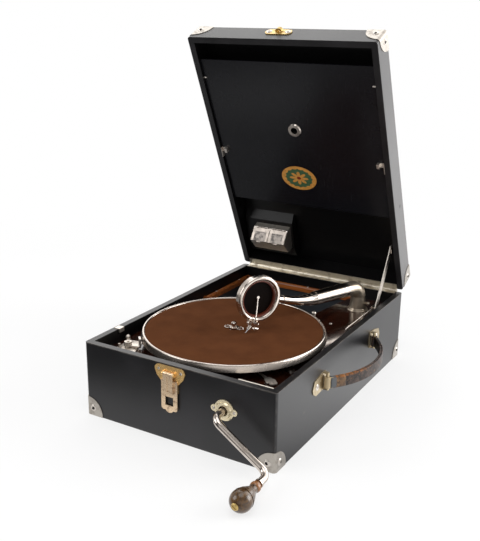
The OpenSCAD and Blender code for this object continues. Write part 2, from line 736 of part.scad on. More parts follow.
module lid_frame() {
  z1 = lid_top - cloth_t - panel_t;
  color("BurlyWood") on_lid() {
    difference() {
      rbox(case_w - 2 * cloth_t, case_d - 2 * cloth_t, case_h + cloth_t, z1, edge_r - cloth_t);
      box(-in_x, in_x, -in_y, in_y, case_h - 1, lid_top);
      box(-hinge_l - 0.3, hinge_l + 0.3, in_y - 1, hd + 1, case_h - 1, case_h + leaf_t);
      translate([0, 0, lid_top + plate_t]) mirror([0, 0, 1]) corner_holes(0);
      for (s = [-1, 1])
        translate([latch_x + s * 14.4, -hd - 2, case_h + 20]) rotate([-90, 0, 0]) cylinder(r = 1.22, h = 9);
    }
    box(-in_x, in_x, rec_back - 8, rec_back - 1, case_h + rec_in + 2.5, z1);
    for (s = [-1, 1])
      box(s < 0 ? -in_x : in_x - 4, s < 0 ? -in_x + 4 : in_x, -150, rec_back - 8, case_h + rec_in + 2.5,
        case_h + rec_in + 6);
  }
}

module lid_panel() {
  z1 = lid_top - cloth_t;
  color("Tan") on_lid() difference() {
    rbox(case_w - 2 * cloth_t, case_d - 2 * cloth_t, z1 - panel_t, z1, edge_r - cloth_t);
    translate([0, 0, lid_top + plate_t]) mirror([0, 0, 1]) corner_holes(0);
  }
}

module lid_cloth() {
  color("DimGray") on_lid() difference() {
    rbox(case_w, case_d, case_h, lid_top, edge_r);
    rbox(case_w - 2 * cloth_t, case_d - 2 * cloth_t, case_h + cloth_t, lid_top - cloth_t, edge_r - cloth_t);
    box(-in_x, in_x, -in_y, in_y, case_h - 1, case_h + 10);
    box(-hinge_l - 0.3, hinge_l + 0.3, in_y - 1, hd + 1, case_h - 1, case_h + leaf_t);
    translate([0, 0, lid_top + plate_t]) mirror([0, 0, 1]) corner_holes(0);
    for (s = [-1, 1])
      translate([latch_x + s * 14.4, -hd - 2, case_h + 20]) rotate([-90, 0, 0]) cylinder(r = 1.25, h = 5);
  }
}

module lid_corners() {
  color("LightSteelBlue") on_lid() translate([0, 0, lid_top + plate_t]) mirror([0, 0, 1]) corner_plates(0);
}

module lid_screws() {
  color("Silver") on_lid() {
    translate([0, 0, lid_top + plate_t]) mirror([0, 0, 1]) corner_fixings(0);
    for (s = [-1, 1]) translate([latch_x + s * 14.4, -hd - 1.2, case_h + 20]) rotate([90, 0, 0]) cup_screw(6);
  }
}

module record_plate() {
  color("MidnightBlue") on_lid() difference() {
    box(-in_x + 0.3, in_x - 0.3, rec_front, rec_back, case_h + rec_in, case_h + rec_in + 2.5);
    translate([0, tt_y, case_h]) cylinder(r = 8.05, h = 20);
  }
}

module plate_eyelet() {
  z = case_h + rec_in;
  color("Silver") on_lid() translate([0, tt_y, 0]) difference() {
    union() {
      translate([0, 0, z - 1.8]) cylinder(r1 = 9.4, r2 = 10.4, h = 1.8);
      translate([0, 0, z - 1]) cylinder(r = 8, h = 4.2);
    }
    translate([0, 0, z - 4]) cylinder(r = 5.2, h = 12);
  }
}

module plate_clips() {
  z = case_h + rec_in;
  color("Silver") on_lid() for (s = [-1, 1]) {
    box(s < 0 ? -in_x : in_x - 11, s < 0 ? -in_x + 11 : in_x, -24, -17, z - 1, z);
    box(s < 0 ? -in_x + 7 : in_x - 11, s < 0 ? -in_x + 11 : in_x - 7, -24, -17, z - 5.5, z - 0.9);
    box(s < 0 ? -in_x : in_x - 1, s < 0 ? -in_x + 1 : in_x, -24, -8, z - 4, z);
    translate([s * in_x, -143, z - 1.2]) rotate([0, -s * 90, 0]) cylinder(r = 1.2, h = 5);
  }
}

wedge_pts = [[hd - 98, lid_top - panel_t - cloth_t], [hd - 86, case_h + 16], [hd - 40, case_h + 9.5],
  [hd - 22, case_h + 12], [hd - 20, lid_top - panel_t - cloth_t]];

// black wooden wedge that tilts the needle box forwards
module needle_wedge() {
  color("Black") on_lid() translate([3 - in_x, 0, 0]) rotate([90, 0, 90])
    linear_extrude(height = nbox_x + 32 + in_x)
    polygon(wedge_pts);
}

// outline of the needle box in the y, z plane of the closed lid, its lidded face runs from nb[1] to nb[2]
nb = [[hd - 79.5, case_h + 15.1], [hd - 78.5, case_h + 5], [hd - 64.5, case_h - 14.3], [hd - 43, case_h - 5.8],
  [hd - 41, case_h + 9.6]];
nb_a = atan2(nb[2][1] - nb[1][1], nb[2][0] - nb[1][0]);

module at_nbox_hinge() {
  translate([nbox_x, nb[1][0], nb[1][1]]) rotate([nb_a, 0, 0]) translate([0, 0.2, -1.6]) children();
}

module needle_box() {
  color("Gainsboro") on_lid() {
    difference() {
      translate([nbox_x - nbox_w / 2, 0, 0]) rotate([90, 0, 90]) linear_extrude(height = nbox_w) polygon(nb);
      for (x = [-1, 1])
        translate([nbox_x + x * nbox_w / 4 - nbox_w / 4 + 1.2, nb[1][0], nb[1][1]]) rotate([nb_a, 0, 0])
          box(0, nbox_w / 2 - 2.4, 3, 22.4, -1, 15);
    }
    at_nbox_hinge() {
      for (x = [-1, 1], k = [-1, 1]) translate([x * nbox_w / 4 + k * 9 - 2.5, 0, 0]) {
        rotate([0, 90, 0]) cylinder(r = 1.25, h = 5);
        box(0, 5, -1.2, 1.2, 0, 1.7);
      }
      translate([-nbox_w / 2 + 4, 0, 0]) rotate([0, 90, 0]) cylinder(r = 0.6, h = nbox_w - 8);
    }
  }
}

// sheet lid over one half of the needle box, side is -1 or 1
module needle_lid(side) {
  on_lid() at_nbox_hinge() translate([side * nbox_w / 4, 0, 0]) difference() {
    union() {
      box(-nbox_w / 4 + 0.6, nbox_w / 4 - 0.6, 1.8, 23.5, 0.4, 1.2);
      translate([-5.9, 0, 0]) rotate([0, 90, 0]) cylinder(r = 1.25, h = 11.8);
      box(-5.9, 5.9, 0, 2, 0.4, 1.2);
      box(-4, 4, 23, 25.5, 0, 0.8);
    }
    translate([-20, 0, 0]) rotate([0, 90, 0]) cylinder(r = 0.6 + run_gap, h = 40);
  }
}

module needle_lid_left() {
  color("Gainsboro") needle_lid(-1);
}

module needle_lid_right() {
  color("Gainsboro") needle_lid(1);
}

// frame of the crank: +X along the arm, the hub's axis is the Y axis
module on_crank() {
  translate([crank_x, 0, crank_z]) rotate([0, throw_a, 0]) children();
}

module crank_rod() {
  color("Silver") on_crank() {
    translate([0, -crank_out + bend_r, 0]) rotate([-90, 0, 0]) cylinder(r = rod_r, h = crank_out - bend_r - 178);
    translate([bend_r, -crank_out + bend_r, 0]) rotate([0, 0, 180]) rotate_extrude(angle = 90)
      translate([bend_r, 0]) circle(r = rod_r);
    translate([bend_r, -crank_out, 0]) rotate([0, 90, 0]) cylinder(r = rod_r, h = throw_l - 2 * bend_r);
    translate([throw_l - bend_r, -crank_out - bend_r, 0]) rotate_extrude(angle = 90)
      translate([bend_r, 0]) circle(r = rod_r);
    translate([throw_l, -crank_out - bend_r, 0]) rotate([90, 0, 0]) {
      cylinder(r = rod_r, h = 8);
      translate([0, 0, 8]) cylinder(r = 5.6, h = 3);
      cylinder(r = 3, h = 62);
    }
  }
}

// turned grip: ball neck, then a pear that is fullest near its outer end
module crank_grip() {
  color("Sienna") on_crank() translate([throw_l, -crank_out - bend_r - 10.5, 0]) rotate([90, 0, 0]) rotate_extrude()
    difference() {
      union() {
        intersection() {
          translate([0, 7]) circle(r = 6.8);
          translate([0, 1.2]) square([10, 12]);
        }
        polygon([[0, 11], [5.4, 11], [6.4, 16], [8.6, 21], [grip_r - 2.1, 27], [grip_r - 0.35, 33], [0, 33]]);
        intersection() {
          translate([0, 38]) circle(r = grip_r);
          translate([0, 32]) square([20, 20.5]);
        }
      }
      translate([-20, -1]) square([20 + 3 + run_gap, 60]);
      translate([-20, 51]) square([20 + 5.2, 4]);
    }
}

module grip_screw() {
  color("Gold") on_crank() translate([throw_l, -crank_out - bend_r - 62, 0]) rotate([90, 0, 0]) difference() {
    cylinder(r1 = 4.6, r2 = 3.4, h = 1.6);
    translate([-5, -0.5, 1]) cube([10, 1, 1]);
  }
}

module winding_shaft() {
  color("SlateGray") translate([crank_x, 0, crank_z]) rotate([-90, 0, 0]) difference() {
    union() {
      translate([0, 0, 1.5 - in_y]) cylinder(r = 7, h = in_y - 174);
      translate([0, 0, -174]) cylinder(r = 3.5, h = 96);
      translate([0, 0, tt_y - crown_r - 2]) rotate([0, 0, 15]) gear(pin_n, mod_a, 4);
    }
    translate([0, 0, -in_y - 2]) cylinder(r = rod_r + 0.02, h = in_y - 176);
  }
}

module turntable() {
  t = tt_top;
  color("Silver") translate([0, tt_y, 0]) {
    rotate_extrude() difference() {
      union() {
        translate([spin_r + run_gap, t - 4]) square([tt_r - 4.4 - spin_r, 1.2]);
        translate([tt_r - 5.2, t - 4]) square([1.1, 2.4]);
        polygon([[tt_r - 1.2, t - tt_rim], [tt_r, t - tt_rim], [tt_r - 2, t - 1.6], [tt_r - 3.2, t - 1.6]]);
        intersection() {
          translate([tt_r - 3.6, t - 1.6]) circle(r = 1.6);
          translate([tt_r - 5.2, t - 1.6]) square([4, 2]);
        }
        translate([spin_r + run_gap, 95]) square([9, t - 4 - 94.5]);
      }
      intersection() {
        translate([tt_r - 3.65, t - 1.6]) circle(r = 0.45);
        translate([tt_r - 5.2, t - 1.6]) square([4, 2]);
      }
    }
  }
}

module turntable_mat() {
  color("SaddleBrown") translate([0, tt_y, tt_top - 2.8]) ring(tt_r - 5.3, 6.6, 1.8);
}

module spindle() {
  color("LightGray") translate([0, tt_y, 0]) {
    translate([0, 0, frame_z + 0.4]) cylinder(r = 3, h = 30);
    translate([0, 0, frame_z + 3]) cylinder(r = 5.5, h = 3);
    translate([0, 0, 27.5]) rotate([0, 0, 15]) gear(pin_n, mod_b, 6);
    translate([0, 0, 44]) cylinder(r = 4, h = 48);
    translate([0, 0, gov_z - 0.7]) gear(worm_n, mod_w, 1.4);
    translate([0, 0, gov_z - 0.7]) cylinder(r = 6.5, h = 3);
    translate([0, 0, 90]) cylinder(r = 7, h = 5);
    translate([0, 0, 90]) cylinder(r = spin_r, h = tt_top - 88.8);
    translate([0, 0, 90]) cylinder(r = pin_r, h = spin_top - 91.5);
    translate([0, 0, spin_top - 1.5]) cylinder(r1 = pin_r, r2 = pin_r - 1.6, h = 1.5);
  }
}

// bow spring that keeps the turntable down on its taper
module spindle_clip() {
  z = tt_top - 0.4;
  color("Silver") translate([0, tt_y, z]) {
    difference() {
      cylinder(r = 6.2, h = 1.4);
      translate([0, 0, -1]) cylinder(r = spin_r + 0.02, h = 4);
    }
    for (s = [-1, 1]) translate([s * 9.2, s * 1.5, 0.7]) rotate_extrude() translate([4.2, 0]) circle(r = 0.6);
  }
}

// frame of the tone arm: +X forwards along the arm from its pivot, +Y towards the soundbox's face
module on_arm() {
  translate([arm_x, arm_y, 0]) rotate([0, 0, -90 + arm_turn]) children();
}

// frame of the gooseneck: origin on its axis beside the soundbox, +X along the neck
module on_neck() {
  on_arm() translate([sb_reach, 0, sb_z]) rotate([0, -neck_rise, 0]) children();
}

// point k of the gooseneck's bend: distance from the pivot, height and radius
function neck_at(k) =
  let (a = k * neck_rise / 6)
  [arm_s + arm_r * sin(a), arm_z + arm_r * (1 - cos(a)), tube_r2 - (tube_r2 - neck_r) * pow(k / 6, 0.72)];

module arm_tube() {
  color("Silver") {
    on_arm() {
      translate([0, 0, 66]) ring(11.15, 9.6, bt - 62.8);
      translate([0, 0, bt + 2.1]) cylinder(r1 = 13.4, r2 = 12.7, h = 1.4);
      translate([0, 0, bt + 3.5]) cylinder(r1 = 12.7, r2 = tube_r, h = arm_z - 19 - bt);
      translate([15.5, 0, arm_z - 15.5]) rotate([90, 0, 180]) rotate_extrude(angle = 90)
        translate([15.5, 0]) circle(r = tube_r);
      translate([15.5, 0, arm_z]) rotate([0, 90, 0]) cylinder(r1 = tube_r, r2 = tube_r2 + 0.1, h = arm_s - 15.5);
      for (k = [0 : 5]) {
        p = neck_at(k);
        q = neck_at(k + 1);
        l = norm([q[0] - p[0], q[1] - p[1]]);
        translate([p[0], 0, p[1]]) rotate([0, 90 - (k + 0.5) * neck_rise / 6, 0]) translate([0, 0, -1])
          cylinder(r1 = p[2], r2 = q[2] + 0.1, h = l + 1);
      }
      rotate([0, 0, 112]) translate([10.5, 0, bt + 11.5]) rotate([0, 90, 0]) {
        cylinder(r = 1.6, h = 5);
        translate([0, 0, 6]) ball(3);
      }
    }
    on_neck() rotate([0, 90, 0]) {
      translate([0, 0, -neck_l - 0.85]) cylinder(r = neck_r, h = neck_l - 63.15);
      translate([0, 0, -71.2]) cylinder(r = neck_r + 0.9, h = 8.2);
      translate([0, 0, -66]) cylinder(r = 3.6, h = 24);
    }
  }
}

// frame of the soundbox's face: origin at its centre, +Z out of the face
module on_head() {
  on_arm() translate([sb_reach, 0, sb_z + sb_up]) rotate([0, 0, -sb_yaw]) translate([0, sb_off, 0])
    rotate([-90, 0, 0]) children();
}

module soundbox_shell() {
  color("Silver") {
    on_neck() {
      rotate([0, 90, 0]) difference() {
        union() {
          translate([0, 0, -62.8]) cylinder(r = neck_r + 0.9, h = 4.8);
          translate([0, 0, -60]) cylinder(r = neck_r - 0.3, h = 53);
        }
        translate([0, 0, -64]) cylinder(r = 3.6 + run_gap, h = 22.3);
      }
      translate([-7, 7, 0]) rotate([0, 0, -90]) rotate_extrude(angle = 90)
        translate([7, 0]) circle(r = neck_r - 0.3);
    }
    on_head() difference() {
      union() {
        translate([0, 0, -sb_t - 4.6]) cylinder(r = 9, h = 5.6);
        translate([0, 0, -sb_t]) cylinder(r1 = sb_r - 4.5, r2 = sb_r - 1.1, h = 2);
        translate([0, 0, 2 - sb_t]) cylinder(r = sb_r - 1.1, h = sb_t - 5.5);
      }
      translate([0, 0, 2 - sb_t]) cylinder(r = sb_r - 2.9, h = sb_t);
      translate([0, 0, -sb_t - 2.2]) cylinder(r = 3, h = 18);
    }
  }
}

// frame of the soundbox: origin at its front face, +Z out of the face, +X towards the needle
module on_box() {
  on_head() rotate([0, 0, 90 - bar_lean]) children();
}

pivot_r = sb_r + 1.8;

module soundbox_ring() {
  color("Silver") on_box() {
    rotate_extrude() {
      translate([sb_r - 1.05, -8.4]) square([1.05, 6.4]);
      translate([sb_open, -3.4]) square([sb_r - sb_open, 1.4]);
      intersection() {
        translate([(sb_r + sb_open) / 2, -2.9]) circle(r = (sb_r - sb_open) / 2);
        translate([sb_open, -2]) square([sb_r - sb_open, 4]);
      }
    }
    for (s = [-1, 1]) difference() {
      box(sb_r - 1.5, pivot_r + 2.4, s * 6.2 - 0.9, s * 6.2 + 0.9, -3, 1.8);
      translate([pivot_r, -10, 0]) rotate([-90, 0, 0]) cylinder(r = 1.02, h = 20);
    }
  }
}

module soundbox_gasket() {
  color("Firebrick") on_box() {
    translate([0, 0, 2 - sb_t]) ring(sb_r - 3, sb_open - 2.2, sb_t - 10.2);
    translate([0, 0, -7.6]) ring(sb_r - 3, sb_open - 2.2, 4.2);
  }
}

module diaphragm() {
  color("DarkSlateGray") on_box() translate([0, 0, -8.2]) cylinder(r = sb_open + 1.5, h = 0.6);
}

// stylus bar on its two pivots, with the needle socket and its clamping screw
module stylus_bar() {
  a = atan2(9.2, 25);
  color("Gainsboro") on_box() difference() {
    union() {
      translate([-1, 0, -7.6]) cylinder(r = 2, h = 1.6);
      translate([-1, 0, -7]) rotate([0, 90 - a, 0]) cylinder(r1 = 0.8, r2 = 1.1, h = 26.8);
      translate([24, 0, 2.1]) ball(1.15);
      translate([24, 0, 2.1]) rotate([0, 90, 0]) cylinder(r = 1.1, h = pivot_r - 24);
      box(pivot_r - 1.4, pivot_r + 3, -4.6, 4.6, -2.2, 3.2);
      translate([pivot_r, -7.4, 0]) rotate([-90, 0, 0]) cylinder(r = 1, h = 14.8);
      for (s = [-1, 1]) translate([pivot_r, s * 8.2, 0]) ball(1.7);
      translate([pivot_r, 0, 0]) rotate([0, 90, -needle_lean]) cylinder(r = 2.6, h = 10);
      translate([pivot_r, 0, 0]) rotate([0, 0, -needle_lean]) translate([7.2, 0, 0]) rotate([-90, 0, needle_lean]) {
        cylinder(r = 0.9, h = 12);
        translate([0, 0, 8]) cylinder(r = 2.2, h = 5);
      }
    }
    translate([pivot_r, 0, 0]) rotate([0, 90, -needle_lean]) translate([0, 0, 4]) cylinder(r = 0.82, h = 10);
  }
}

module needle() {
  color("White") on_box() translate([pivot_r, 0, 0]) rotate([0, 90, -needle_lean]) {
    translate([0, 0, 4.2]) cylinder(r = 0.8, h = 8);
    translate([0, 0, 12.2]) cylinder(r1 = 0.8, r2 = 0.1, h = 4.2);
  }
}

// regulator lever on the board; under it an arm carries the pad that bears on the governor's disc
module speed_lever() {
  color("Silver") {
    translate([speed_x, speed_y, gov_z - 3]) cylinder(r = 2, h = bt - gov_z + 6);
    translate([speed_x, speed_y, bt]) cylinder(r = 4, h = 1.5);
    translate([speed_x, speed_y, bt + 1.4]) rotate([0, 0, speed_a]) {
      box(-3, 40, -2, 2, 0, 1.4);
      translate([43, 0, 0]) cylinder(r = 5, h = 1.4);
      translate([49, 0, 0]) cylinder(r = 6.6, h = 1.4);
      translate([55, 0, 0]) cylinder(r = 5, h = 1.4);
    }
    box(gov_x + 6.5, speed_x, speed_y - 1.5, speed_y + 1.5, gov_z - 3, gov_z + 3);
    box(gov_x + 6.5, gov_x + 8.5, speed_y - 1.5, -103.3, gov_z - 3, gov_z + 3);
  }
}

// governor: shaft in the frame's two brackets, three-start worm, three weights on springs and the brake disc
module governor() {
  lead = 3 * PI * mod_w;
  h = 9;
  color("Goldenrod") translate([gov_x, 0, gov_z]) rotate([-90, 0, 0]) {
    translate([0, 0, -111.6]) cylinder(r = 1.6, h = 88.2);
    translate([0, 0, -103]) cylinder(r = 9, h = 1.6);
    translate([0, 0, -101.5]) cylinder(r = 3.4, h = 6);
    translate([0, 0, -77]) cylinder(r = 3.4, h = 3);
    translate([0, 0, tt_y - h / 2]) rotate([0, 0, 60 - h / lead * 180])
      linear_extrude(height = h, twist = -h / lead * 360, slices = 14) {
        circle(r = 2.2, $fn = 12);
        for (i = [0 : 2]) rotate(i * 120)
          polygon([[1.8, -0.75], [3, -0.5], [3.5, -0.33], [3.5, 0.33], [3, 0.5], [1.8, 0.75]]);
      }
    for (a = [0, 120, 240]) rotate([0, 0, a]) {
      translate([8.2, 0, -88.5]) rotate([90, 0, 0]) cylinder(r = 3.4, h = 6, center = true);
      translate([4.6, 0, -92.6]) rotate([0, 46, 0]) cube([1, 3, 9.4], center = true);
      translate([4.6, 0, -81.4]) rotate([0, -46, 0]) cube([1, 3, 9.4], center = true);
    }
  }
}

module barrel() {
  z = 36;
  color("Tan") translate([barrel_x, tt_y, 0]) difference() {
    union() {
      translate([0, 0, z]) gear(great_n, mod_a, 3.5);
      translate([0, 0, z + 3]) cylinder(r = barrel_r, h = 15.5);
    }
    translate([0, 0, z + 3.5]) cylinder(r = barrel_r - 1.2, h = 13.8);
    translate([0, 0, z - 1]) cylinder(r = 5 + run_gap, h = 40);
  }
}

// one flat spiral made of half turns whose centres step from side to side
module mainspring() {
  p = 2.4;
  color("SteelBlue") translate([barrel_x, tt_y, 39.8]) for (k = [0 : 21]) {
    r = 6.2 + k * p / 2;
    s = k % 2 == 0 ? 1 : -1;
    intersection() {
      translate([s * p / 4, 0, 0]) ring(r + 0.45, r - 0.45, 13.2);
      translate([-50, s > 0 ? 0 : -50, -1]) cube([100, 50, 20]);
    }
  }
}

// spring arbor with its ratchet wheel below the barrel and the crown wheel above it
module winding_arbor() {
  root = crank_z - pin_n * mod_a / 2 - 1.15 * mod_a;
  tip = root + 2 * mod_a;
  p = 2 * PI * crown_r / crown_n;
  color("Peru") translate([barrel_x, tt_y, 0]) {
    translate([0, 0, frame_z + 0.4]) cylinder(r = 4, h = top_z + 2 - frame_z);
    translate([0, 0, frame_z + 3]) cylinder(r = 5, h = 40);
    translate([0, 0, frame_z + 3]) cylinder(r = 8, h = 33 - frame_z);
    translate([0, 0, 26]) linear_extrude(height = 2.5)
      polygon([for (i = [0 : 47], k = [0, 1]) [(14 - 1.1 * k) * cos(7.5 * i + 1.2 * k),
        (14 - 1.1 * k) * sin(7.5 * i + 1.2 * k)]]);
    translate([0, 0, root - 2]) difference() {
      cylinder(r = crown_r + 2.4, h = 2);
      for (a = [45 : 90 : 359]) rotate([0, 0, a]) translate([12.5, 0, -1]) cylinder(r = 4.5, h = 4);
    }
    for (i = [0 : crown_n - 1]) rotate([0, 0, i * 360 / crown_n]) translate([crown_r - 2, 0, root])
      rotate([90, 0, 90]) linear_extrude(height = 4)
        polygon([[-0.27 * p, -0.1], [0.27 * p, -0.1], [0.07 * p, tip - root], [-0.07 * p, tip - root]]);
  }
}

module click() {
  color("LightSteelBlue") translate([barrel_x + 17, tt_y + 15, 26]) difference() {
    union() {
      cylinder(r = 3.6, h = 2.4);
      linear_extrude(height = 2.4) polygon([[-3, 2], [0, -3.4], [-6.85, -5.2], [-7.7, -4.4]]);
    }
    translate([0, 0, -1]) cylinder(r = 2 + run_gap, h = 5);
  }
}

// intermediate arbor: pinion under the great wheel, large wheel towards the spindle
module train_arbor() {
  color("Goldenrod") translate([inter_x, tt_y, 0]) {
    translate([0, 0, frame_z + 0.4]) cylinder(r = 2, h = top_z + 2 - frame_z);
    translate([0, 0, frame_z + 3]) cylinder(r = 3.2, h = 6.5);
    difference() {
      translate([0, 0, 29]) gear(wheel_n, mod_b, 2.5);
      for (a = [0 : 60 : 359]) rotate([0, 0, a + 30]) translate([16, 0, 28]) cylinder(r = 6, h = 5);
    }
    translate([0, 0, 31]) cylinder(r = 3.4, h = 5);
    translate([0, 0, 34.5]) rotate([0, 0, 15]) gear(pin_n, mod_a, 6);
    translate([0, 0, 40]) cylinder(r = 3.2, h = 20);
  }
}

base_frame();
base_floor();
base_cloth();
motor_board();
case_screws();
mouth_bead();
horn();
base_corners();
hinge_base_leaf();
hinge_pin();
stay_rail();
latch_plate();
escutcheon();
handle_plates();
handle_strap();
arm_flange();
board_fittings();
motor_top_plate();
motor_frame();
lid_frame();
lid_panel();
lid_cloth();
lid_corners();
lid_screws();
record_plate();
plate_eyelet();
plate_clips();
needle_wedge();
needle_box();
hinge_lid_leaf();
lid_keeper();
stay_bracket();
needle_lid_left();
needle_lid_right();
stay_slider();
stay_bar();
latch_hasp();
crank_rod();
winding_shaft();
crank_grip();
grip_screw();
turntable();
turntable_mat();
spindle();
spindle_clip();
arm_tube();
soundbox_shell();
soundbox_ring();
soundbox_gasket();
diaphragm();
stylus_bar();
needle();
brake_lever();
speed_lever();
barrel();
mainspring();
winding_arbor();
click();
train_arbor();
governor();
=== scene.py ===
"""Dresses the portable gramophone: finishes of its parts, the leather strap and the felt disc."""

import math
from functools import partial

import bmesh
import bpy
from mathutils import Matrix, Vector


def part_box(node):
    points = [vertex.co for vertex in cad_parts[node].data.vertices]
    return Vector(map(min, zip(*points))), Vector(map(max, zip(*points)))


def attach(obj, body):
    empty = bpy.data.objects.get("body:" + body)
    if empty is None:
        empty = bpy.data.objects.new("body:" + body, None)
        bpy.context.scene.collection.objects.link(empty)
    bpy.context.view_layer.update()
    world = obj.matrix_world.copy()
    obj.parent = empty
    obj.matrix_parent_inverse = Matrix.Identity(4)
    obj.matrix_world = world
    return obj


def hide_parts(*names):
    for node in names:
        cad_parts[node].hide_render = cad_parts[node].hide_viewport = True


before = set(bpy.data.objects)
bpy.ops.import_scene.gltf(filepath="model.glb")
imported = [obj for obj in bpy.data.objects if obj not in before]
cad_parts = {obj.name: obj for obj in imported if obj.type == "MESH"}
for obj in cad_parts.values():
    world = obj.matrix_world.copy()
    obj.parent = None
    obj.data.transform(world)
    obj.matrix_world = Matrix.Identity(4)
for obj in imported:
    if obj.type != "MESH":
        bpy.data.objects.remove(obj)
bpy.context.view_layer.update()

bl_info = {
    "name": "Portable gramophone dressing",
    "version": (1, 0, 0),
    "blender": (4, 5, 0),
    "location": "3D View > Sidebar > Gramophone",
    "description": "Finishes, strap, felt and stage for a portable wind-up gramophone",
    "category": "Object",
}

MM = 0.001
WHITE = (1.0, 1.0, 1.0, 1.0)

# places on the frame, in millimetres; the lid's are those of the shut lid
CASE = Vector((143.0, 207.0, 104.0))
HINGE = Vector((0.0, 211.0, 104.0))
LID_TURN = math.radians(65.4)
LID_TOP = 136.0
RIGHT_SIDE = (142.0, 142.6)
LID_DOT = Vector((CASE.x, 59.4, 123.8))
# a dark dash on the case's right side above the strap's front end: a painted shadow
CASE_SHADOW_DASH_Y = -48.0
CORNER_SCREW_IN = 11.0
ORNAMENT = Vector((-7.5, 19.0, LID_TOP))
ORNAMENT_HALF = (29.0, 21.0)
FRONT_STRIP = (-190.0, -192.0)
NEEDLE_LIDS_X = (-94.5, -63.5)
TABLE = Vector((0.0, -65.0, 0.0))
ARM = Vector((92.5, 150.0, 0.0))

# the felt disc inside the turntable's rim
FELT_LOW = 103.8
FELT_HOLE = 6.6
FELT_R = 121.7

# the strap: an arc about STRAP_MID that ends at its two keeper bars
STRAP_MID = Vector((66.0, 0.0, 68.25))
STRAP_R = 116.0
STRAP_END = 79.0
STRAP_BAR = Vector((149.0, 80.0, 68.25))
STRAP_BAR_R = 3.55
STRAP_PLY_OFF = 1.25
WRAP_HALF_THICK = 2.75
WRAP_HALF_WIDE = 8.1
WRAP_SQUARE = 0.45

# metals: bright and dull colour, roughness, tarnish, size of its patches, height of the relief and
# share of metal, which is less on the latch, escutcheon and hasp, so that their paler colours light up as
# paint: a painted highlight
METALS = {
    "nickel_bright": ("cdc3ba", "7d6a5a", 0.12, 0.45, 14.0, 0.02, 1.0),
    "nickel_dull": ("dbd3ca", "8a7a6b", 0.4, 0.35, 6.0, 0.02, 1.0),
    "hinge_nickel": ("d9d2c4", "7c6c55", 0.28, 0.75, 12.0, 0.02, 1.0),
    "turntable_nickel": ("cdc3ba", "95877b", 0.2, 0.4, 45.0, 0.004, 1.0),
    "brass_worn": ("c3a86c", "6d5430", 0.3, 0.75, 8.0, 0.02, 1.0),
    # the latch, escutcheon and hasp: paler colours with less metal, a painted highlight in place of their
    # plating's reflections
    "brass_latch": ("f2c884", "6b4518", 0.24, 0.9, 4.0, 0.02, 0.65),
    "brass_escutcheon": ("f0e2c0", "6b5933", 0.24, 0.9, 4.0, 0.02, 0.6),
    "brass_handle": ("ab9c7f", "625339", 0.32, 0.7, 6.0, 0.02, 1.0),
    "hasp_copper": ("e8ccaa", "6a4a36", 0.24, 0.9, 5.0, 0.02, 0.6),
    "bright_steel": ("d4d4d6", "84807c", 0.1, 0.2, 14.0, 0.02, 1.0),
    "motor_brass": ("c7a45c", "7d6232", 0.25, 0.4, 14.0, 0.02, 1.0),
    "motor_steel": ("a9a9ab", "6c6864", 0.25, 0.4, 14.0, 0.02, 1.0),
    "spring_steel": ("5f6674", "2f3238", 0.25, 0.5, 5.0, 0.02, 1.0),
}

# paint, rubber and lacquer: dark and light colour, roughness, size of the mottle, specular level
PAINTS = {
    "horn_grey": ("25282c", "363a40", 0.5, 20.0, 0.5),
    "gasket_red": ("3a1409", "7c3418", 0.5, 4.0, 0.5),
    "diaphragm_dark": ("060303", "120905", 0.5, 9.0, 0.05),
    "motor_grey": ("3e4144", "53565a", 0.45, 30.0, 0.5),
}

# lamps: name, place, side of the square and power
LAMPS = (
    ("lamp_right", (1.7, 0.9, 0.75), 1.2, 26.0),
    ("lamp_left", (-1.5, -1.5, 1.3), 1.3, 20.0),
    ("lamp_top", (0.2, -0.4, 2.4), 1.6, 16.0),
    ("lamp_back", (-0.75, 1.05, 1.65), 1.1, 4.0),
)
LAMP_AIM = Vector((0.0, 0.0, 0.15))
FLOOR_HALF = 200.0
FLOOR_LOW = -0.0003


def srgb(code):
    """A colour written as six hex digits, as linear light."""
    parts = [int(code[k : k + 2], 16) / 255 for k in (0, 2, 4)]
    light = [c / 12.92 if c <= 0.04045 else ((c + 0.055) / 1.055) ** 2.4 for c in parts]
    return (*light, 1.0)


def colour_prop(name, code, description):
    return bpy.props.FloatVectorProperty(
        name=name, description=description, subtype="COLOR", size=4, min=0.0, max=1.0, default=srgb(code)
    )


def length_prop(name, default, description):
    return bpy.props.FloatProperty(
        name=name, description=description, subtype="DISTANCE", min=0.0, precision=4, default=default
    )


def angle_prop(name, degrees, description):
    return bpy.props.FloatProperty(
        name=name, description=description, subtype="ANGLE", default=math.radians(degrees)
    )


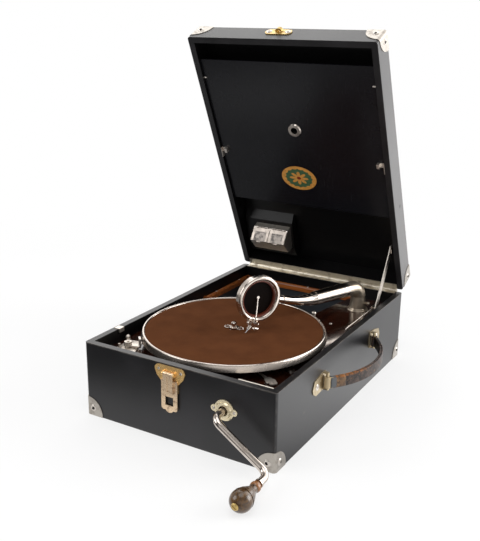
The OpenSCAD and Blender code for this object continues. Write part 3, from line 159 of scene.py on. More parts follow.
class Flow:
    """An output in a node tree. Arithmetic on it adds Math nodes, and node() adds any other kind."""

    def __init__(self, tree, socket=None):
        self.tree = tree
        self.socket = socket

    def node(self, kind, settings=None, inputs=None, output=0):
        made = self.tree.nodes.new(kind)
        for key, value in (settings or {}).items():
            setattr(made, key, value)
        for key, value in (inputs or {}).items():
            if isinstance(value, Flow):
                self.tree.links.new(value.socket, made.inputs[key])
            else:
                made.inputs[key].default_value = value
        return Flow(self.tree, made.outputs[output] if len(made.outputs) else None)

    def maths(self, operation, *values):
        return self.node("ShaderNodeMath", {"operation": operation}, dict(enumerate(values)))

    def __add__(self, other):
        return self.maths("ADD", self, other)

    __radd__ = __add__

    def __sub__(self, other):
        return self.maths("SUBTRACT", self, other)

    def __rsub__(self, other):
        return self.maths("SUBTRACT", other, self)

    def __mul__(self, other):
        return self.maths("MULTIPLY", self, other)

    __rmul__ = __mul__

    def __truediv__(self, other):
        return self.maths("DIVIDE", self, other)

    def __abs__(self):
        return self.maths("ABSOLUTE", self)

    def least(self, other):
        return self.maths("MINIMUM", self, other)

    def most(self, other):
        return self.maths("MAXIMUM", self, other)

    def step(self, low, high):
        """0 below low and 1 above high, softly between; the other way round where low is above high."""
        inputs = {"Value": self, "From Min": min(low, high), "From Max": max(low, high)}
        inputs.update({"To Min": 0.0, "To Max": 1.0} if low < high else {"To Min": 1.0, "To Max": 0.0})
        return self.node("ShaderNodeMapRange", {"interpolation_type": "SMOOTHSTEP"}, inputs)

    def mixed(self, a, b, amount):
        """Colour a passing to colour b by amount."""
        return self.node("ShaderNodeMix", {"data_type": "RGBA"}, {0: amount, 6: a, 7: b}, output=2)

    def at(self, move=(0, 0, 0), turn=(0, 0, 0), scale=(1, 1, 1)):
        """The piece's own coordinates in millimetres, scaled, turned and moved."""
        own = self.node("ShaderNodeTexCoord", output=3)
        inputs = {"Vector": own, "Location": move, "Rotation": turn, "Scale": [s / MM for s in scale]}
        return self.node("ShaderNodeMapping", {}, inputs)

    def split(self):
        """The three parts of a vector."""
        outs = self.node("ShaderNodeSeparateXYZ", {}, {0: self}).socket.node.outputs
        return [Flow(self.tree, outs[k]) for k in range(3)]

    def rays(self, *kinds):
        """1 for light paths of each of the kinds, else 0."""
        outs = self.node("ShaderNodeLightPath").socket.node.outputs
        return [Flow(self.tree, outs[kind]) for kind in kinds]

    def cloud(self, at, size, detail, warp=0.0):
        """Noise whose lumps are about size millimetres across, from 0 to 1."""
        inputs = {"Vector": at, "Scale": 1.0 / size, "Detail": detail, "Distortion": warp}
        return self.node("ShaderNodeTexNoise", {}, inputs)

    def cells(self, at, size):
        """Distance to the nearest of scattered points about size millimetres apart."""
        return self.node("ShaderNodeTexVoronoi", {}, {"Vector": at, "Scale": 1.0 / size})


def blank(data):
    """Empties the node tree of a new material or world and gives a Flow in it."""
    data.use_nodes = True
    data.node_tree.nodes.clear()
    return Flow(data.node_tree)


def finish(name, build):
    """The material of that name; at its first use build(start) gives its inputs, relief and height."""
    found = bpy.data.materials.get(name)
    if found:
        return found
    made = bpy.data.materials.new(name)
    start = blank(made)
    inputs = build(start)
    relief = inputs.pop("relief", None)
    if relief:
        bump = {"Height": relief, "Distance": inputs.pop("height") * MM, "Strength": 1.0}
        inputs["Normal"] = start.node("ShaderNodeBump", {}, bump)
    body = start.node("ShaderNodeBsdfPrincipled", {}, inputs)
    start.node("ShaderNodeOutputMaterial", {}, {"Surface": body})
    return made


def squares(a, b):
    """The square of a distance whose parts are a and b."""
    return a * a + b * b


def lid_place(start):
    """Coordinates as on the shut lid, from those of the open one."""
    turn = Matrix.Rotation(LID_TURN, 3, "X")
    return start.at(move=tuple(HINGE - turn @ HINGE), turn=(LID_TURN, 0, 0))


def leathercloth(on_lid):
    """Grained black cloth, greyed in patches, rubbed along its edges and scuffed, with a painted sheen on
    the lid's right side, a dark plug there and a dark dash painted as a shadow on the case's right side.
    """

    def build(start):
        looks = bpy.context.scene.gramophone_finish
        at = lid_place(start) if on_lid else start.at()
        x, y, z = at.split()
        across = CASE.x - abs(x)
        along = CASE.y - abs(y)
        up = (LID_TOP - z) if on_lid else z.least(CASE.z - z)
        edge = across.most(along).least(across.most(up)).least(along.most(up))
        grain = start.cells(at, 0.9)
        pits = start.cloud(at, 0.5, 3.0)
        blotch = start.cloud(at, 55.0, 4.0)
        rub = edge + start.cloud(at, 9.0, 4.0) * 3.4
        worn = rub.step(3.6, 1.6) * 0.6
        scuff = start.cloud(start.at(scale=(1.0, 0.12, 1.0)), 2.4, 3.0).step(0.66, 0.74)
        scuff = scuff * start.cloud(at, 30.0, 2.0).step(0.5, 0.62) * 0.25
        colour = start.mixed(looks.cloth, looks.cloth_light, blotch.step(0.35, 0.75))
        colour = start.mixed(colour, looks.cloth_worn, worn.most(scuff))
        right = x.step(*RIGHT_SIDE)
        if on_lid:
            # painted sheen: the lid's right side painted grey, lighter towards the hinge, for the light
            # falling on it from the right
            greyed = right * (0.15 + y.step(-CASE.y, -20.0) * 0.5) + blotch * 0.06
            colour = start.mixed(colour, looks.lid_side_sheen, greyed)
            # a dark round plug on the lid's right side
            plug_and_shadow_mark = squares(y - LID_DOT.y, z - LID_DOT.z).step(9.0, 6.0)
        else:
            # painted shadow: a dark dash on the case's right side above the strap's front end
            plug_and_shadow_mark = abs(y - CASE_SHADOW_DASH_Y).step(1.4, 0.5) * z.step(80.0, 84.0) * z.step(93.0, 90.0)
        colour = start.mixed(colour, srgb("050505"), plug_and_shadow_mark * right)
        return {
            "Base Color": colour,
            "Roughness": 0.33 + blotch * 0.1 + worn * 0.2,
            "Specular IOR Level": 0.5,
            "relief": grain.step(0.0, 0.75) * 0.7 + pits * 0.3,
            "height": 0.025,
        }

    return finish("leathercloth_lid" if on_lid else "leathercloth_case", build)


def black_inside():
    """Black paint inside the case and lid, with dust."""

    def build(start):
        at = start.at()
        dust = start.cloud(at, 2.2, 5.0).step(0.55, 0.8)
        return {
            "Base Color": start.mixed(srgb("0a090a"), srgb("2a2725"), dust * 0.4),
            "Roughness": 0.34 + dust * 0.25,
            "Specular IOR Level": 0.25,
            "relief": start.cloud(at, 1.2, 3.0),
            "height": 0.03,
        }

    return finish("black_inside", build)


def ornament(start, at):
    """An oval disc of plain petals in gold on green: its colour, and where it lies."""
    x, y, z = at.split()
    dx = (x - ORNAMENT.x) / ORNAMENT_HALF[0]
    dy = (y - ORNAMENT.y) / ORNAMENT_HALF[1]
    out = start.maths("SQRT", squares(dx, dy))
    turn = start.maths("ARCTAN2", dy, dx)
    petal = abs(start.maths("COSINE", turn * 4.0))
    rose = (out - petal * 0.34 - 0.2).step(0.02, -0.02)
    lobes = abs(start.maths("SINE", turn * 8.0)) * 0.07
    scallop = (out + lobes).step(0.8, 0.82)
    rim = out.step(0.93, 0.945)
    mottled = start.cloud(at, 3.0, 4.0)
    gold = start.mixed(srgb("8f5a22"), srgb("d39a4e"), mottled)
    green = start.mixed(srgb("26402e"), srgb("4a6444"), mottled)
    field = start.mixed(green, gold, rose.most(scallop).most(rim))
    field = start.mixed(field, srgb("6d2b1b"), out.step(0.13, 0.11))
    return field, out.step(1.01, 0.99)


def plate_black():
    """Glossy black of the lid's inner plate, hazy, dusty and scratched, with its worn ornament."""

    def build(start):
        looks = bpy.context.scene.gramophone_finish
        at = lid_place(start)
        field, disc = ornament(start, at)
        wear = start.cloud(at, 1.6, 4.0).step(0.68, 0.74)
        dust = start.cloud(at, 1.1, 6.0).step(0.62, 0.8) * 0.35
        haze = start.cloud(at, 70.0, 3.0)
        black = start.mixed(looks.plate, srgb("1b1b20"), haze * 0.6)
        black = start.mixed(black, srgb("3a3733"), dust)
        scratch = start.cloud(start.at(scale=(1.0, 0.06, 0.06)), 1.3, 2.0).step(0.7, 0.78)
        return {
            "Base Color": start.mixed(black, field, disc * (1.0 - wear * 0.7)),
            "Roughness": 0.2 + haze * 0.12 + dust * 0.4 + scratch * 0.12,
            "Specular IOR Level": 0.3,
            "relief": haze * 0.6 + scratch * 0.02,
            "height": 0.3,
        }

    return finish("plate_black", build)


def wood(name, dark, light, rough, size, along, coat):
    """Long-grained wood; along is the way its grain runs."""

    def build(start):
        at = start.at(scale={"x": (0.06, 1, 1), "y": (1, 0.06, 1)}[along])
        grain = start.cloud(at, size, 5.0, 0.6)
        fine = start.cloud(at, size * 0.12, 3.0)
        patch = start.cloud(start.at(), 45.0, 3.0)
        figure = grain.step(0.36, 0.66) * 0.7 + fine * 0.3
        return {
            "Base Color": start.mixed(dark, light, figure * (0.6 + patch * 0.6)),
            "Roughness": rough + patch * 0.1,
            "Coat Weight": coat,
            "Coat Roughness": 0.06,
            "relief": fine * 0.4 + grain * 0.6,
            "height": 0.03,
        }

    return finish(name, build)


def grip_wood():
    """Turned wood of the grip, paler on its neck."""

    def build(start):
        neck_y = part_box("crank_grip")[1][1] / MM
        x, y, z = start.at().split()
        grain = start.cloud(start.at(scale=(1, 0.06, 1)), 3.0, 5.0, 0.6)
        patch = start.cloud(start.at(), 9.0, 3.0)
        colour = start.mixed(srgb("402b15"), srgb("654722"), grain.step(0.36, 0.66) * (0.5 + patch * 0.5))
        colour = start.mixed(colour, srgb("97602b"), y.step(neck_y - 10.0, neck_y - 8.5) * 0.8)
        return {"Base Color": colour, "Roughness": 0.28, "Coat Weight": 0.4, "Coat Roughness": 0.12}

    return finish("grip_wood", build)


def metal(name):
    """Plated or plain metal of METALS with a soft tarnish, specks and fine wipe marks."""
    bright, dull, rough, tarnish, size, height, share = METALS[name]

    def build(start):
        at = start.at()
        cloudy = start.cloud(at, size, 5.0)
        speck = start.cloud(at, 1.3, 3.0).step(0.66, 0.76)
        wipe = start.cloud(start.at(scale=(1.0, 0.15, 0.5)), 0.5, 2.0)
        spoilt = (cloudy.step(0.5, 0.72) * 0.8 + speck * 0.5).least(1.0)
        return {
            "Base Color": start.mixed(srgb(bright), srgb(dull), spoilt * tarnish),
            "Metallic": (1.0 - spoilt * tarnish * 0.25) * share,
            "Roughness": rough + spoilt * tarnish * 0.3 + wipe * 0.06,
            "relief": cloudy * 0.7 + wipe * 0.3,
            "height": height,
        }

    return finish(name, build)


def arm_nickel():
    """Bright plating of the tone arm, satin at its elbow and on the flange."""

    def build(start):
        at = start.at()
        x, y, z = at.split()
        satin = squares(x - ARM.x, y - ARM.y).step(1100.0, 500.0)
        cloudy = start.cloud(at, 12.0, 4.0).step(0.45, 0.72)
        colour = start.mixed(srgb("cdc3ba"), srgb("7d6a5a"), cloudy * 0.4)
        return {
            "Base Color": start.mixed(colour, srgb("a89a86"), satin * 0.8),
            "Metallic": 1.0 - satin * 0.15,
            "Roughness": 0.12 + satin * 0.17 + cloudy * 0.08,
            "relief": cloudy,
            "height": 0.02,
        }

    return finish("arm_nickel", build)


def nickel_worn():
    """Grey worn plating of the corner plates."""

    def build(start):
        looks = bpy.context.scene.gramophone_finish
        cloudy = start.cloud(start.at(), 7.0, 5.0).step(0.45, 0.72)
        colour = start.mixed(looks.corner, looks.corner_dark, cloudy * 0.5)
        return {"Base Color": colour, "Metallic": 1.0, "Roughness": 0.33 + cloudy * 0.15}

    return finish("nickel_worn", build)


def screw_heads(on_lid):
    """Screws of the case or lid: those of the corner plates painted dark, a painted shade of the recess
    they sit in; the others bright.
    """

    def build(start):
        at = lid_place(start) if on_lid else start.at()
        x, y, z = at.split()
        up = z - ((LID_TOP - CORNER_SCREW_IN) if on_lid else CORNER_SCREW_IN)
        across = abs(x) - (CASE.x - CORNER_SCREW_IN)
        along = abs(y) - (CASE.y - CORNER_SCREW_IN)
        out = (across * across).least(along * along) + up * up
        # painted shade: the corner screws painted near black and not metal, where the recess of the plate
        # shades them
        painted_darkening = out.step(5.2, 3.6)
        return {
            "Base Color": start.mixed(srgb("c3bcb4"), srgb("14110f"), painted_darkening),
            "Metallic": 1.0 - painted_darkening,
            "Roughness": 0.32,
            "Specular IOR Level": 0.1,
        }

    return finish("screw_heads_lid" if on_lid else "screw_heads_case", build)


def fittings_nickel():
    """Nickel of the board's small fittings; the strip along the front wall is matt and painted pale, a
    painted highlight for the light its plating catches.
    """

    def build(start):
        x, y, z = start.at().split()
        cloudy = start.cloud(start.at(), 5.0, 4.0).step(0.45, 0.7)
        # painted highlight: the front strip painted pale and made less metal so that it shows bright
        strip = y.step(*FRONT_STRIP)
        colour = start.mixed(srgb("dbd3ca"), srgb("958677"), cloudy * 0.4)
        return {
            "Base Color": start.mixed(colour, srgb("f4ecdf"), strip),
            "Metallic": 1.0 - strip * 0.6,
            "Roughness": 0.38 + strip * 0.2,
        }

    return finish("fittings_nickel", build)


def needle_lids():
    """Lids of the needle box: bright edges round a darker middle, a painted reflection of the dark
    turntable, with painted glints in it.
    """

    def build(start):
        x, y, z = start.at().split()
        left, right = (abs(x - middle) for middle in NEEDLE_LIDS_X)
        # painted reflection: the middle of each lid painted darker, as the dark turntable mirrored in it
        painted_darkening = left.least(right).step(11.0, 10.0) * z.step(159.5, 160.5) * z.step(175.5, 174.5)
        # painted glints: lighter streaks in the dark middle
        painted_glints = start.cloud(start.at(), 7.0, 3.0).step(0.38, 0.62)
        inner = start.mixed(srgb("4a4644"), srgb("8f8882"), painted_glints)
        colour = start.mixed(srgb("a39a92"), inner, painted_darkening)
        return {"Base Color": colour, "Metallic": 1.0, "Roughness": 0.32 + painted_glints * 0.1}

    return finish("needle_lids", build)


def felt():
    """Brown felt with a fine nap, matted in patches and trodden in a ring."""

    def build(start):
        looks = bpy.context.scene.gramophone_finish
        at = start.at()
        x, y, z = at.split()
        nap = start.cloud(at, 0.7, 4.0)
        matted = start.cloud(at, 26.0, 4.0)
        out = start.maths("SQRT", squares(x - TABLE.x, y - TABLE.y)) + matted * 8.0
        ring = out.step(40.0, 46.0) * out.step(60.0, 50.0)
        colour = start.mixed(looks.felt_dark, looks.felt, (nap * 0.6 + matted * 0.55).step(0.25, 0.8))
        return {
            "Base Color": start.mixed(colour, looks.felt_dark, ring * 0.25),
            "Roughness": 0.95,
            "Specular IOR Level": 0.04,
            "relief": nap + matted * 0.5,
            "height": 0.25,
        }

    return finish("brown_felt", build)


def leather(name, dark, light, gloss, tip=None):
    """Old leather, flaked and rubbed tan; tip is another colour and where it starts near the front."""

    def build(start):
        at = start.at()
        crease = start.cells(at, 1.5)
        soft = start.cloud(at, 9.0, 4.0)
        x, y, z = at.split()
        top = (z - STRAP_BAR.z).step(4.5, 7.4) * y.step(-10.0, -50.0)
        top = top * start.cloud(at, 4.0, 3.0).step(0.3, 0.6)
        flake = start.cloud(start.at(scale=(1.0, 1.0, 0.5)), 3.2, 4.0).step(0.54, 0.62)
        tan = start.cloud(start.at(scale=(1.0, 0.5, 1.0)), 2.2, 4.0).step(0.6, 0.66)
        colour = start.mixed(dark, light, soft.step(0.35, 0.7))
        colour = start.mixed(colour, srgb("120d0c"), flake * 0.75)
        colour = start.mixed(colour, srgb("7e5a38"), tan * 0.6)
        colour = start.mixed(colour, srgb("a9672a"), top * 0.7)
        if tip:
            code, first, last = tip
            colour = start.mixed(colour, srgb(code), y.step(first, last))
        return {
            "Base Color": colour,
            "Roughness": gloss + soft * 0.15,
            "Specular IOR Level": 0.3,
            "relief": crease.step(0.0, 0.7) * 0.6 + soft * 0.4,
            "height": 0.1,
        }

    return finish(name, build)


def plain(name):
    """Rubber, enamel, lacquer or card of PAINTS with a quiet mottle."""
    dark, light, rough, size, shine = PAINTS[name]

    def build(start):
        at = start.at()
        mottle = start.cloud(at, size, 4.0)
        fine = start.cloud(at, size * 0.1, 3.0)
        return {
            "Base Color": start.mixed(srgb(dark), srgb(light), mottle * 0.7 + fine * 0.3),
            "Roughness": rough + fine * 0.1,
            "Specular IOR Level": shine,
            "relief": fine,
            "height": 0.03,
        }

    return finish(name, build)


def floor_white():
    """Pale matt floor that the camera sees as nearly white. Metal and polish mirror a graded one."""
    made = bpy.data.materials.new("floor_white")
    start = blank(made)
    mottle = start.cloud(start.at(), 300.0, 3.0)
    colour = start.mixed(srgb("f6f6f6"), srgb("fbfbfb"), mottle)
    body = start.node("ShaderNodeBsdfPrincipled", {}, {"Base Color": colour, "Roughness": 0.9})
    glow = start.node("ShaderNodeEmission", {}, {"Color": WHITE, "Strength": 1.0})
    seen, glossy = start.rays("Is Camera Ray", "Is Glossy Ray")
    x, y, z = start.at().split()
    far = squares(x, y).step(450.0**2, 1100.0**2)
    mixed = start.node("ShaderNodeMixShader", {}, {0: seen * (0.7 + far * 0.3), 1: body, 2: glow})
    right = (x + y * 0.5).step(-60.0, 240.0) * (1.75 - y.step(60.0, 260.0) * y.step(800.0, 500.0) * 0.6)
    near = (y + x * 0.2).step(-400.0, -260.0) * y.step(-150.0, -210.0)
    left = y.step(-210.0, -150.0) * 0.25
    level = right.most(0.05 + near + left)
    grey = start.node("ShaderNodeCombineColor", {}, {0: level, 1: level, 2: level})
    mirrored = start.node("ShaderNodeEmission", {}, {"Color": grey, "Strength": 1.0})
    mixed = start.node("ShaderNodeMixShader", {}, {0: glossy, 1: mixed, 2: mirrored})
    start.node("ShaderNodeOutputMaterial", {}, {"Surface": mixed})
    return made


def paint(material, *nodes):
    for name in nodes:
        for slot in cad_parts[name].material_slots:
            slot.material = material


def mesh_object(name, shape, material):
    """Makes the bmesh an object of the scene, with its material."""
    mesh = bpy.data.meshes.new(name)
    shape.to_mesh(mesh)
    shape.free()
    mesh.materials.append(material)
    made = bpy.data.objects.new(name, mesh)
    bpy.context.scene.collection.objects.link(made)
    return made


def add_piece(name, model, material, body, smooth=True):
    """Makes a piece from model(shape), a bmesh, and lets it ride on the body."""
    shape = bmesh.new()
    model(shape)
    piece = mesh_object(name, shape, material)
    for face in piece.data.polygons:
        face.use_smooth = smooth
    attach(piece, body)
    return piece


def live(piece, kind, **settings):
    """Adds a modifier that stays live."""
    made = piece.modifiers.new(kind.title(), kind)
    for key, value in settings.items():
        setattr(made, key, value)


def spun(shape, outline, centre, steps):
    """A closed outline of (radius, height) points turned round an upright axis, in millimetres."""
    points = [shape.verts.new(((centre.x + r) * MM, centre.y * MM, z * MM)) for r, z in outline]
    edges = [shape.edges.new((points[k - 1], points[k])) for k in range(len(points))]
    bmesh.ops.spin(
        shape,
        geom=points + edges,
        cent=centre * MM,
        axis=(0, 0, 1),
        angle=math.tau,
        steps=steps,
        use_merge=True,
        use_duplicate=False,
    )
    bmesh.ops.remove_doubles(shape, verts=shape.verts, dist=1e-7)
    bmesh.ops.recalc_face_normals(shape, faces=shape.faces)


def strap_point(s, off):
    """A point of the strap's arc at s from -1 to 1, off millimetres outwards."""
    a = s * math.asin(STRAP_END / STRAP_R)
    r = STRAP_R + off
    return Vector((STRAP_MID.x + r * math.cos(a), r * math.sin(a), 0.0))


def bar_point(k, side, ply):
    """Round a bar: from the outer ply at k = 0 to the inner at k = 1 on the +Y side, back on the other."""
    centre = Vector((STRAP_BAR.x, side * STRAP_BAR.y, 0.0))
    start = strap_point(side, ply * side) - centre
    end = strap_point(side, -ply * side) - centre
    first = math.atan2(start.y, start.x)
    last = math.atan2(end.y, end.x)
    while last < first:
        last += math.tau
    angle = first + (last - first) * k
    swell = math.sin(math.pi * k)
    r = start.length * (1 - k) + end.length * k
    r = r * (1 - swell) + STRAP_BAR_R * swell
    return centre + Vector((math.cos(angle), math.sin(angle), 0.0)) * r


def loop_point(t, ply):
    """A point of the strap's loop at t from 0 to 1: along the arc, round a bar, back, round the other."""
    run, turn = 0.42, 0.08
    if t < run:
        return strap_point(2 * t / run - 1, ply)
    if t < run + turn:
        return bar_point((t - run) / turn, 1, ply)
    if t < 2 * run + turn:
        return strap_point(1 - 2 * (t - run - turn) / run, -ply)
    return bar_point((t - 2 * run - turn) / turn, -1, ply)


class GramophoneFinish(bpy.types.PropertyGroup):
    """Colours of the finishes."""

    cloth: colour_prop("Leathercloth", "0b0a0d", "Black leathercloth of the case and lid")
    cloth_light: colour_prop("Leathercloth sheen", "18161a", "Where the leathercloth has greyed")
    # painted sheen of the light on the lid's right side
    lid_side_sheen: colour_prop("Lid side", "6a6868", "Greyed right side of the lid")
    cloth_worn: colour_prop("Leathercloth wear", "58534e", "Rubbed edges and scuffs")
    corner: colour_prop("Corner plates", "aaa49c", "Worn nickel of the corner plates")
    corner_dark: colour_prop("Corner plates dull", "837a70", "Tarnish of the corner plates")
    plate: colour_prop("Record plate", "09090c", "Glossy black inner plate of the lid")
    felt: colour_prop("Felt", "623b23", "Brown felt of the turntable")
    felt_dark: colour_prop("Felt shade", "4f2e1b", "Trodden felt")
    board_dark: colour_prop("Board dark", "180a06", "Dark figure of the polished motor board")
    board_light: colour_prop("Board light", "3c1a0d", "Light figure of the polished motor board")
    bead_dark: colour_prop("Bead dark", "6a3210", "Dark figure of the bead round the horn's mouth")
    bead_light: colour_prop("Bead light", "b3672c", "Light figure of the bead round the horn's mouth")
    strap: colour_prop("Strap", "4f403a", "Leather of the carrying strap")
    strap_dark: colour_prop("Strap dark", "211a18", "Dark parts of the carrying strap")


class GramophoneSizes(bpy.types.PropertyGroup):
    """Sizes of the strap and the felt."""

    strap_width: length_prop("Strap width", 0.0152, "Width of the carrying strap")
    strap_ply: length_prop("Strap ply", 0.0021, "Thickness of each ply of the strap")
    wrap: length_prop("Wrap", 0.0009, "Thickness of the leather wrapped round the strap's ends")
    felt: length_prop("Felt", 0.0018, "Thickness of the felt disc")


class GramophoneStage(bpy.types.PropertyGroup):
    """Camera and light."""

    azimuth: angle_prop("Azimuth", 30.53, "Way round from the front")
    elevation: angle_prop("Elevation", 17.64, "Height of the view")
    roll: angle_prop("Roll", 0.65, "Tilt of the picture")
    distance: length_prop("Distance", 1.13902, "From the middle of the view to the camera")
    target: bpy.props.FloatVectorProperty(
        name="Middle",
        description="Point in the middle of the view",
        subtype="XYZ",
        unit="LENGTH",
        default=(-0.0299, 0.0, 0.1659),
    )
    lens: bpy.props.FloatProperty(
        name="Lens", description="Focal length in millimetres", unit="CAMERA", min=10.0, default=52.945
    )
    daylight: bpy.props.FloatProperty(
        name="Daylight", description="Level of the even light", subtype="FACTOR", min=0, max=1, default=0.5
    )


class GRAMOPHONE_OT_stage(bpy.types.Operator):
    """Floor, camera, lamps and even light"""

    bl_idname = "gramophone.stage"
    bl_label = "Stage"

    def execute(self, context):
        self.camera(context)
        self.floor()
        self.lamps(context)
        self.sky(context)
        context.scene.view_settings.view_transform = "Standard"
        return {"FINISHED"}

    def camera(self, context):
        view = context.scene.gramophone_stage
        az, el = view.azimuth, view.elevation
        back = Vector((math.sin(az) * math.cos(el), -math.cos(az) * math.cos(el), math.sin(el)))
        right = Vector((math.cos(az), math.sin(az), 0.0))
        up = back.cross(right)
        side = right * math.cos(view.roll) + up * math.sin(view.roll)
        top = up * math.cos(view.roll) - right * math.sin(view.roll)
        data = bpy.data.cameras.new("camera")
        data.sensor_fit = "VERTICAL"
        data.sensor_height = 36.0
        data.lens = view.lens
        data.clip_start = 0.01
        camera = bpy.data.objects.new("camera", data)
        context.scene.collection.objects.link(camera)
        turn = Matrix((side, top, back)).transposed().to_4x4()
        camera.matrix_world = Matrix.Translation(Vector(view.target) + back * view.distance) @ turn
        context.scene.camera = camera

    def floor(self):
        shape = bmesh.new()
        bmesh.ops.create_grid(shape, x_segments=2, y_segments=2, size=FLOOR_HALF)
        bmesh.ops.translate(shape, verts=shape.verts, vec=(0, 0, FLOOR_LOW))
        mesh_object("floor", shape, floor_white())

    def lamps(self, context):
        for name, spot, size, power in LAMPS:
            data = bpy.data.lights.new(name, "AREA")
            data.shape = "SQUARE"
            data.size = size
            data.energy = power
            lamp = bpy.data.objects.new(name, data)
            lamp.location = spot
            lamp.rotation_euler = (LAMP_AIM - Vector(spot)).to_track_quat("-Z", "Y").to_euler()
            context.scene.collection.objects.link(lamp)

    def sky(self, context):
        """Even light on the object, white behind it, and graded soft boxes for metal to mirror."""
        world = bpy.data.worlds.new("even_light")
        start = blank(world)
        camera, glossy, through = start.rays("Is Camera Ray", "Is Glossy Ray", "Is Transmission Ray")
        x, y, z = start.node("ShaderNodeTexCoord", output=0).split()
        behind = y.step(0.15, 0.6)
        right = y.step(0.5, 0.9) * x.step(0.0, 0.25)
        ceiling = z.step(0.3, 0.75) * (1.0 - behind)
        front = y.step(0.0, -0.5) * x.step(0.2, -0.3)
        shade = (0.95 - ceiling * 0.6 + behind * 0.9 + right * 1.4) * (1.0 - front * 0.88)
        pale = start.node("ShaderNodeCombineColor", {}, {0: shade, 1: shade * 0.985, 2: shade * 0.97})
        level = context.scene.gramophone_stage.daylight
        even = start.mixed((level, level, level, 1.0), pale, glossy)
        colour = start.mixed(even, WHITE, camera.most(through))
        light = start.node("ShaderNodeBackground", {}, {"Color": colour, "Strength": 1.0})
        start.node("ShaderNodeOutputWorld", {}, {"Surface": light})
        context.scene.world = world


class GRAMOPHONE_OT_case(bpy.types.Operator):
    """Leathercloth, boards and plates of the case"""

    bl_idname = "gramophone.case"
    bl_label = "Case"

    def execute(self, context):
        paint(leathercloth(False), "base_cloth")
        paint(black_inside(), "base_frame", "base_floor")
        paint(nickel_worn(), "base_corners")
        paint(screw_heads(False), "case_screws")
        paint(metal("hinge_nickel"), "hinge_base_leaf", "hinge_pin")
        return {"FINISHED"}


class GRAMOPHONE_OT_lid(bpy.types.Operator):
    """Leathercloth, inner plate and fittings of the lid, and its stay"""

    bl_idname = "gramophone.lid"
    bl_label = "Lid"

    def execute(self, context):
        paint(leathercloth(True), "lid_cloth")
        paint(black_inside(), "lid_frame", "lid_panel", "needle_wedge")
        paint(plate_black(), "record_plate")
        paint(nickel_worn(), "lid_corners")
        paint(screw_heads(True), "lid_screws")
        paint(metal("nickel_dull"), "plate_clips", "needle_box", "stay_bar")
        paint(metal("nickel_bright"), "plate_eyelet", "stay_bracket", "stay_slider", "stay_rail")
        paint(needle_lids(), "needle_lid_left", "needle_lid_right")
        paint(metal("hinge_nickel"), "hinge_lid_leaf")
        paint(metal("brass_worn"), "lid_keeper")
        return {"FINISHED"}


class GRAMOPHONE_OT_board(bpy.types.Operator):
    """Polished motor board, horn and its bead, brake and speed lever"""

    bl_idname = "gramophone.board"
    bl_label = "Motor board"

    def execute(self, context):
        looks = context.scene.gramophone_finish
        board = wood("polished_board", looks.board_dark, looks.board_light, 0.12, 7.0, "y", 0.8)
        bead = wood("bead_wood", looks.bead_dark, looks.bead_light, 0.3, 3.0, "x", 0.2)
        paint(board, "motor_board")
        paint(bead, "mouth_bead")
        paint(plain("horn_grey"), "horn")
        paint(fittings_nickel(), "board_fittings")
        paint(metal("nickel_dull"), "brake_lever", "speed_lever")
        return {"FINISHED"}


class GRAMOPHONE_OT_turntable(bpy.types.Operator):
    """Nickelled turntable, spindle and felt disc"""

    bl_idname = "gramophone.turntable"
    bl_label = "Turntable"

    def execute(self, context):
        paint(metal("turntable_nickel"), "turntable")
        paint(metal("nickel_bright"), "spindle", "spindle_clip")
        paint(felt(), "turntable_mat")
        disc = add_piece("felt_disc", self.disc, felt(), "table", smooth=False)
        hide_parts("turntable_mat")
        return {"FINISHED"}

    def disc(self, shape):
        """A flat disc with a hole, its edges worn round."""
        top = FELT_LOW + bpy.context.scene.gramophone_sizes.felt / MM
        middle = 60.0
        outline = (
            (FELT_HOLE, FELT_LOW),
            (FELT_HOLE, top - 0.4),
            (FELT_HOLE + 0.5, top),
            (middle, top),
            (FELT_R - 0.8, top),
            (FELT_R - 0.2, top - 0.3),
            (FELT_R, top - 0.8),
            (FELT_R, FELT_LOW),
            (middle, FELT_LOW),
        )
        spun(shape, outline, TABLE, 128)


class GRAMOPHONE_OT_arm(bpy.types.Operator):
    """Tone arm and soundbox"""

    bl_idname = "gramophone.arm"
    bl_label = "Tone arm and soundbox"

    def execute(self, context):
        paint(metal("nickel_bright"), "soundbox_shell", "soundbox_ring", "stylus_bar")
        paint(arm_nickel(), "arm_tube", "arm_flange")
        paint(metal("bright_steel"), "needle")
        paint(plain("gasket_red"), "soundbox_gasket")
        paint(plain("diaphragm_dark"), "diaphragm")
        return {"FINISHED"}


class GRAMOPHONE_OT_crank(bpy.types.Operator):
    """Winding crank, its grip, the escutcheon, the latch and the handle's plates"""

    bl_idname = "gramophone.crank"
    bl_label = "Crank and latch"

    def execute(self, context):
        paint(metal("nickel_bright"), "crank_rod", "winding_shaft")
        paint(grip_wood(), "crank_grip")
        paint(metal("brass_worn"), "grip_screw")
        paint(metal("brass_latch"), "latch_plate")
        paint(metal("brass_escutcheon"), "escutcheon")
        paint(metal("brass_handle"), "handle_plates")
        paint(metal("hasp_copper"), "latch_hasp")
        return {"FINISHED"}


class GRAMOPHONE_OT_motor(bpy.types.Operator):
    """Finishes of the spring motor in the case"""

    bl_idname = "gramophone.motor"
    bl_label = "Motor"

    def execute(self, context):
        paint(plain("motor_grey"), "motor_top_plate", "motor_frame")
        paint(metal("motor_brass"), "barrel", "governor")
        paint(metal("motor_steel"), "winding_arbor", "train_arbor", "click")
        paint(metal("spring_steel"), "mainspring")
        return {"FINISHED"}


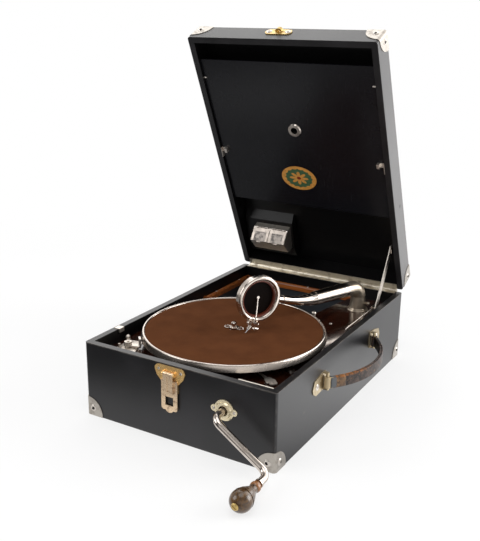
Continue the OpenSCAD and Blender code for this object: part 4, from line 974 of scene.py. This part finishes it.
class GRAMOPHONE_OT_strap(bpy.types.Operator):
    """Leather carrying strap with its two end wraps"""

    bl_idname = "gramophone.strap"
    bl_label = "Carrying strap"

    def execute(self, context):
        looks = context.scene.gramophone_finish
        sizes = context.scene.gramophone_sizes
        hide = leather("strap_hide", looks.strap_dark, looks.strap, 0.42, ("b9a684", -77.0, -77.4))
        strap = add_piece("carrying_strap", self.band, hide, "case")
        live(strap, "SOLIDIFY", thickness=sizes.strap_ply, offset=0.0)
        sharp = math.radians(50)
        live(strap, "BEVEL", width=0.0006, segments=2, limit_method="ANGLE", angle_limit=sharp)
        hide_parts("handle_strap")
        tan = leather("wrap_tan", srgb("54402f"), srgb("86684b"), 0.4, ("5d6063", -73.6, -74.2))
        black = leather("wrap_black", srgb("100e0e"), srgb("262222"), 0.3)
        wraps = (
            ("strap_wrap_front", -0.985, -0.74, tan),
            ("strap_wrap_back", 0.62, 0.985, black),
        )
        for name, low, high, skin in wraps:
            wrap = add_piece(name, partial(self.sleeve, low=low, high=high), skin, "case")
            live(wrap, "SOLIDIFY", thickness=sizes.wrap, offset=1.0)
        return {"FINISHED"}

    def band(self, shape):
        """The doubled strap: one long strip taken round in a loop."""
        half = bpy.context.scene.gramophone_sizes.strap_width / MM / 2
        bmesh.ops.create_grid(shape, x_segments=150, y_segments=8, size=1.0)
        for vert in shape.verts:
            t = (vert.co.x + 1) / 2
            point = loop_point(t % 1.0, STRAP_PLY_OFF)
            vert.co = Vector((point.x, point.y, STRAP_BAR.z + vert.co.y * half)) * MM
        bmesh.ops.remove_doubles(shape, verts=shape.verts, dist=2e-5)
        bmesh.ops.recalc_face_normals(shape, faces=shape.faces)

    def sleeve(self, shape, low, high):
        """A wrap of thin leather round both plies, from low to high along the strap."""
        bmesh.ops.create_cone(shape, cap_ends=False, segments=40, radius1=1.0, radius2=1.0, depth=2.0)
        lengthwise = [e for e in shape.edges if abs(e.verts[0].co.z - e.verts[1].co.z) > 1]
        bmesh.ops.subdivide_edges(shape, edges=lengthwise, cuts=9, use_grid_fill=True)
        for vert in shape.verts:
            s = low + (high - low) * (vert.co.z + 1) / 2
            out = math.copysign(abs(vert.co.x) ** WRAP_SQUARE, vert.co.x) * WRAP_HALF_THICK
            up = math.copysign(abs(vert.co.y) ** WRAP_SQUARE, vert.co.y) * WRAP_HALF_WIDE
            point = strap_point(s, out)
            vert.co = Vector((point.x, point.y, STRAP_BAR.z + up)) * MM
        bmesh.ops.recalc_face_normals(shape, faces=shape.faces)


class GRAMOPHONE_PT_panel(bpy.types.Panel):
    """Lists the dressing of the gramophone"""

    bl_label = "Gramophone"
    bl_space_type = "VIEW_3D"
    bl_region_type = "UI"
    bl_category = "Gramophone"

    def draw(self, context):
        scene = context.scene
        for group in (scene.gramophone_finish, scene.gramophone_sizes, scene.gramophone_stage):
            for key in group.__annotations__:
                self.layout.prop(group, key)
        for operator in OPERATORS:
            self.layout.operator(operator.bl_idname)


GROUPS = (GramophoneFinish, GramophoneSizes, GramophoneStage)
OPERATORS = (
    GRAMOPHONE_OT_stage,
    GRAMOPHONE_OT_case,
    GRAMOPHONE_OT_lid,
    GRAMOPHONE_OT_board,
    GRAMOPHONE_OT_turntable,
    GRAMOPHONE_OT_arm,
    GRAMOPHONE_OT_crank,
    GRAMOPHONE_OT_motor,
    GRAMOPHONE_OT_strap,
)
CLASSES = (*GROUPS, *OPERATORS, GRAMOPHONE_PT_panel)


def register():
    for kind in CLASSES:
        bpy.utils.register_class(kind)
    bpy.types.Scene.gramophone_finish = bpy.props.PointerProperty(type=GramophoneFinish)
    bpy.types.Scene.gramophone_sizes = bpy.props.PointerProperty(type=GramophoneSizes)
    bpy.types.Scene.gramophone_stage = bpy.props.PointerProperty(type=GramophoneStage)


def unregister():
    del bpy.types.Scene.gramophone_stage
    del bpy.types.Scene.gramophone_sizes
    del bpy.types.Scene.gramophone_finish
    for kind in reversed(CLASSES):
        bpy.utils.unregister_class(kind)


def main():
    register()
    bpy.ops.gramophone.stage()
    bpy.ops.gramophone.case()
    bpy.ops.gramophone.lid()
    bpy.ops.gramophone.board()
    bpy.ops.gramophone.turntable()
    bpy.ops.gramophone.arm()
    bpy.ops.gramophone.crank()
    bpy.ops.gramophone.motor()
    bpy.ops.gramophone.strap()


if __name__ == "__main__":
    main()
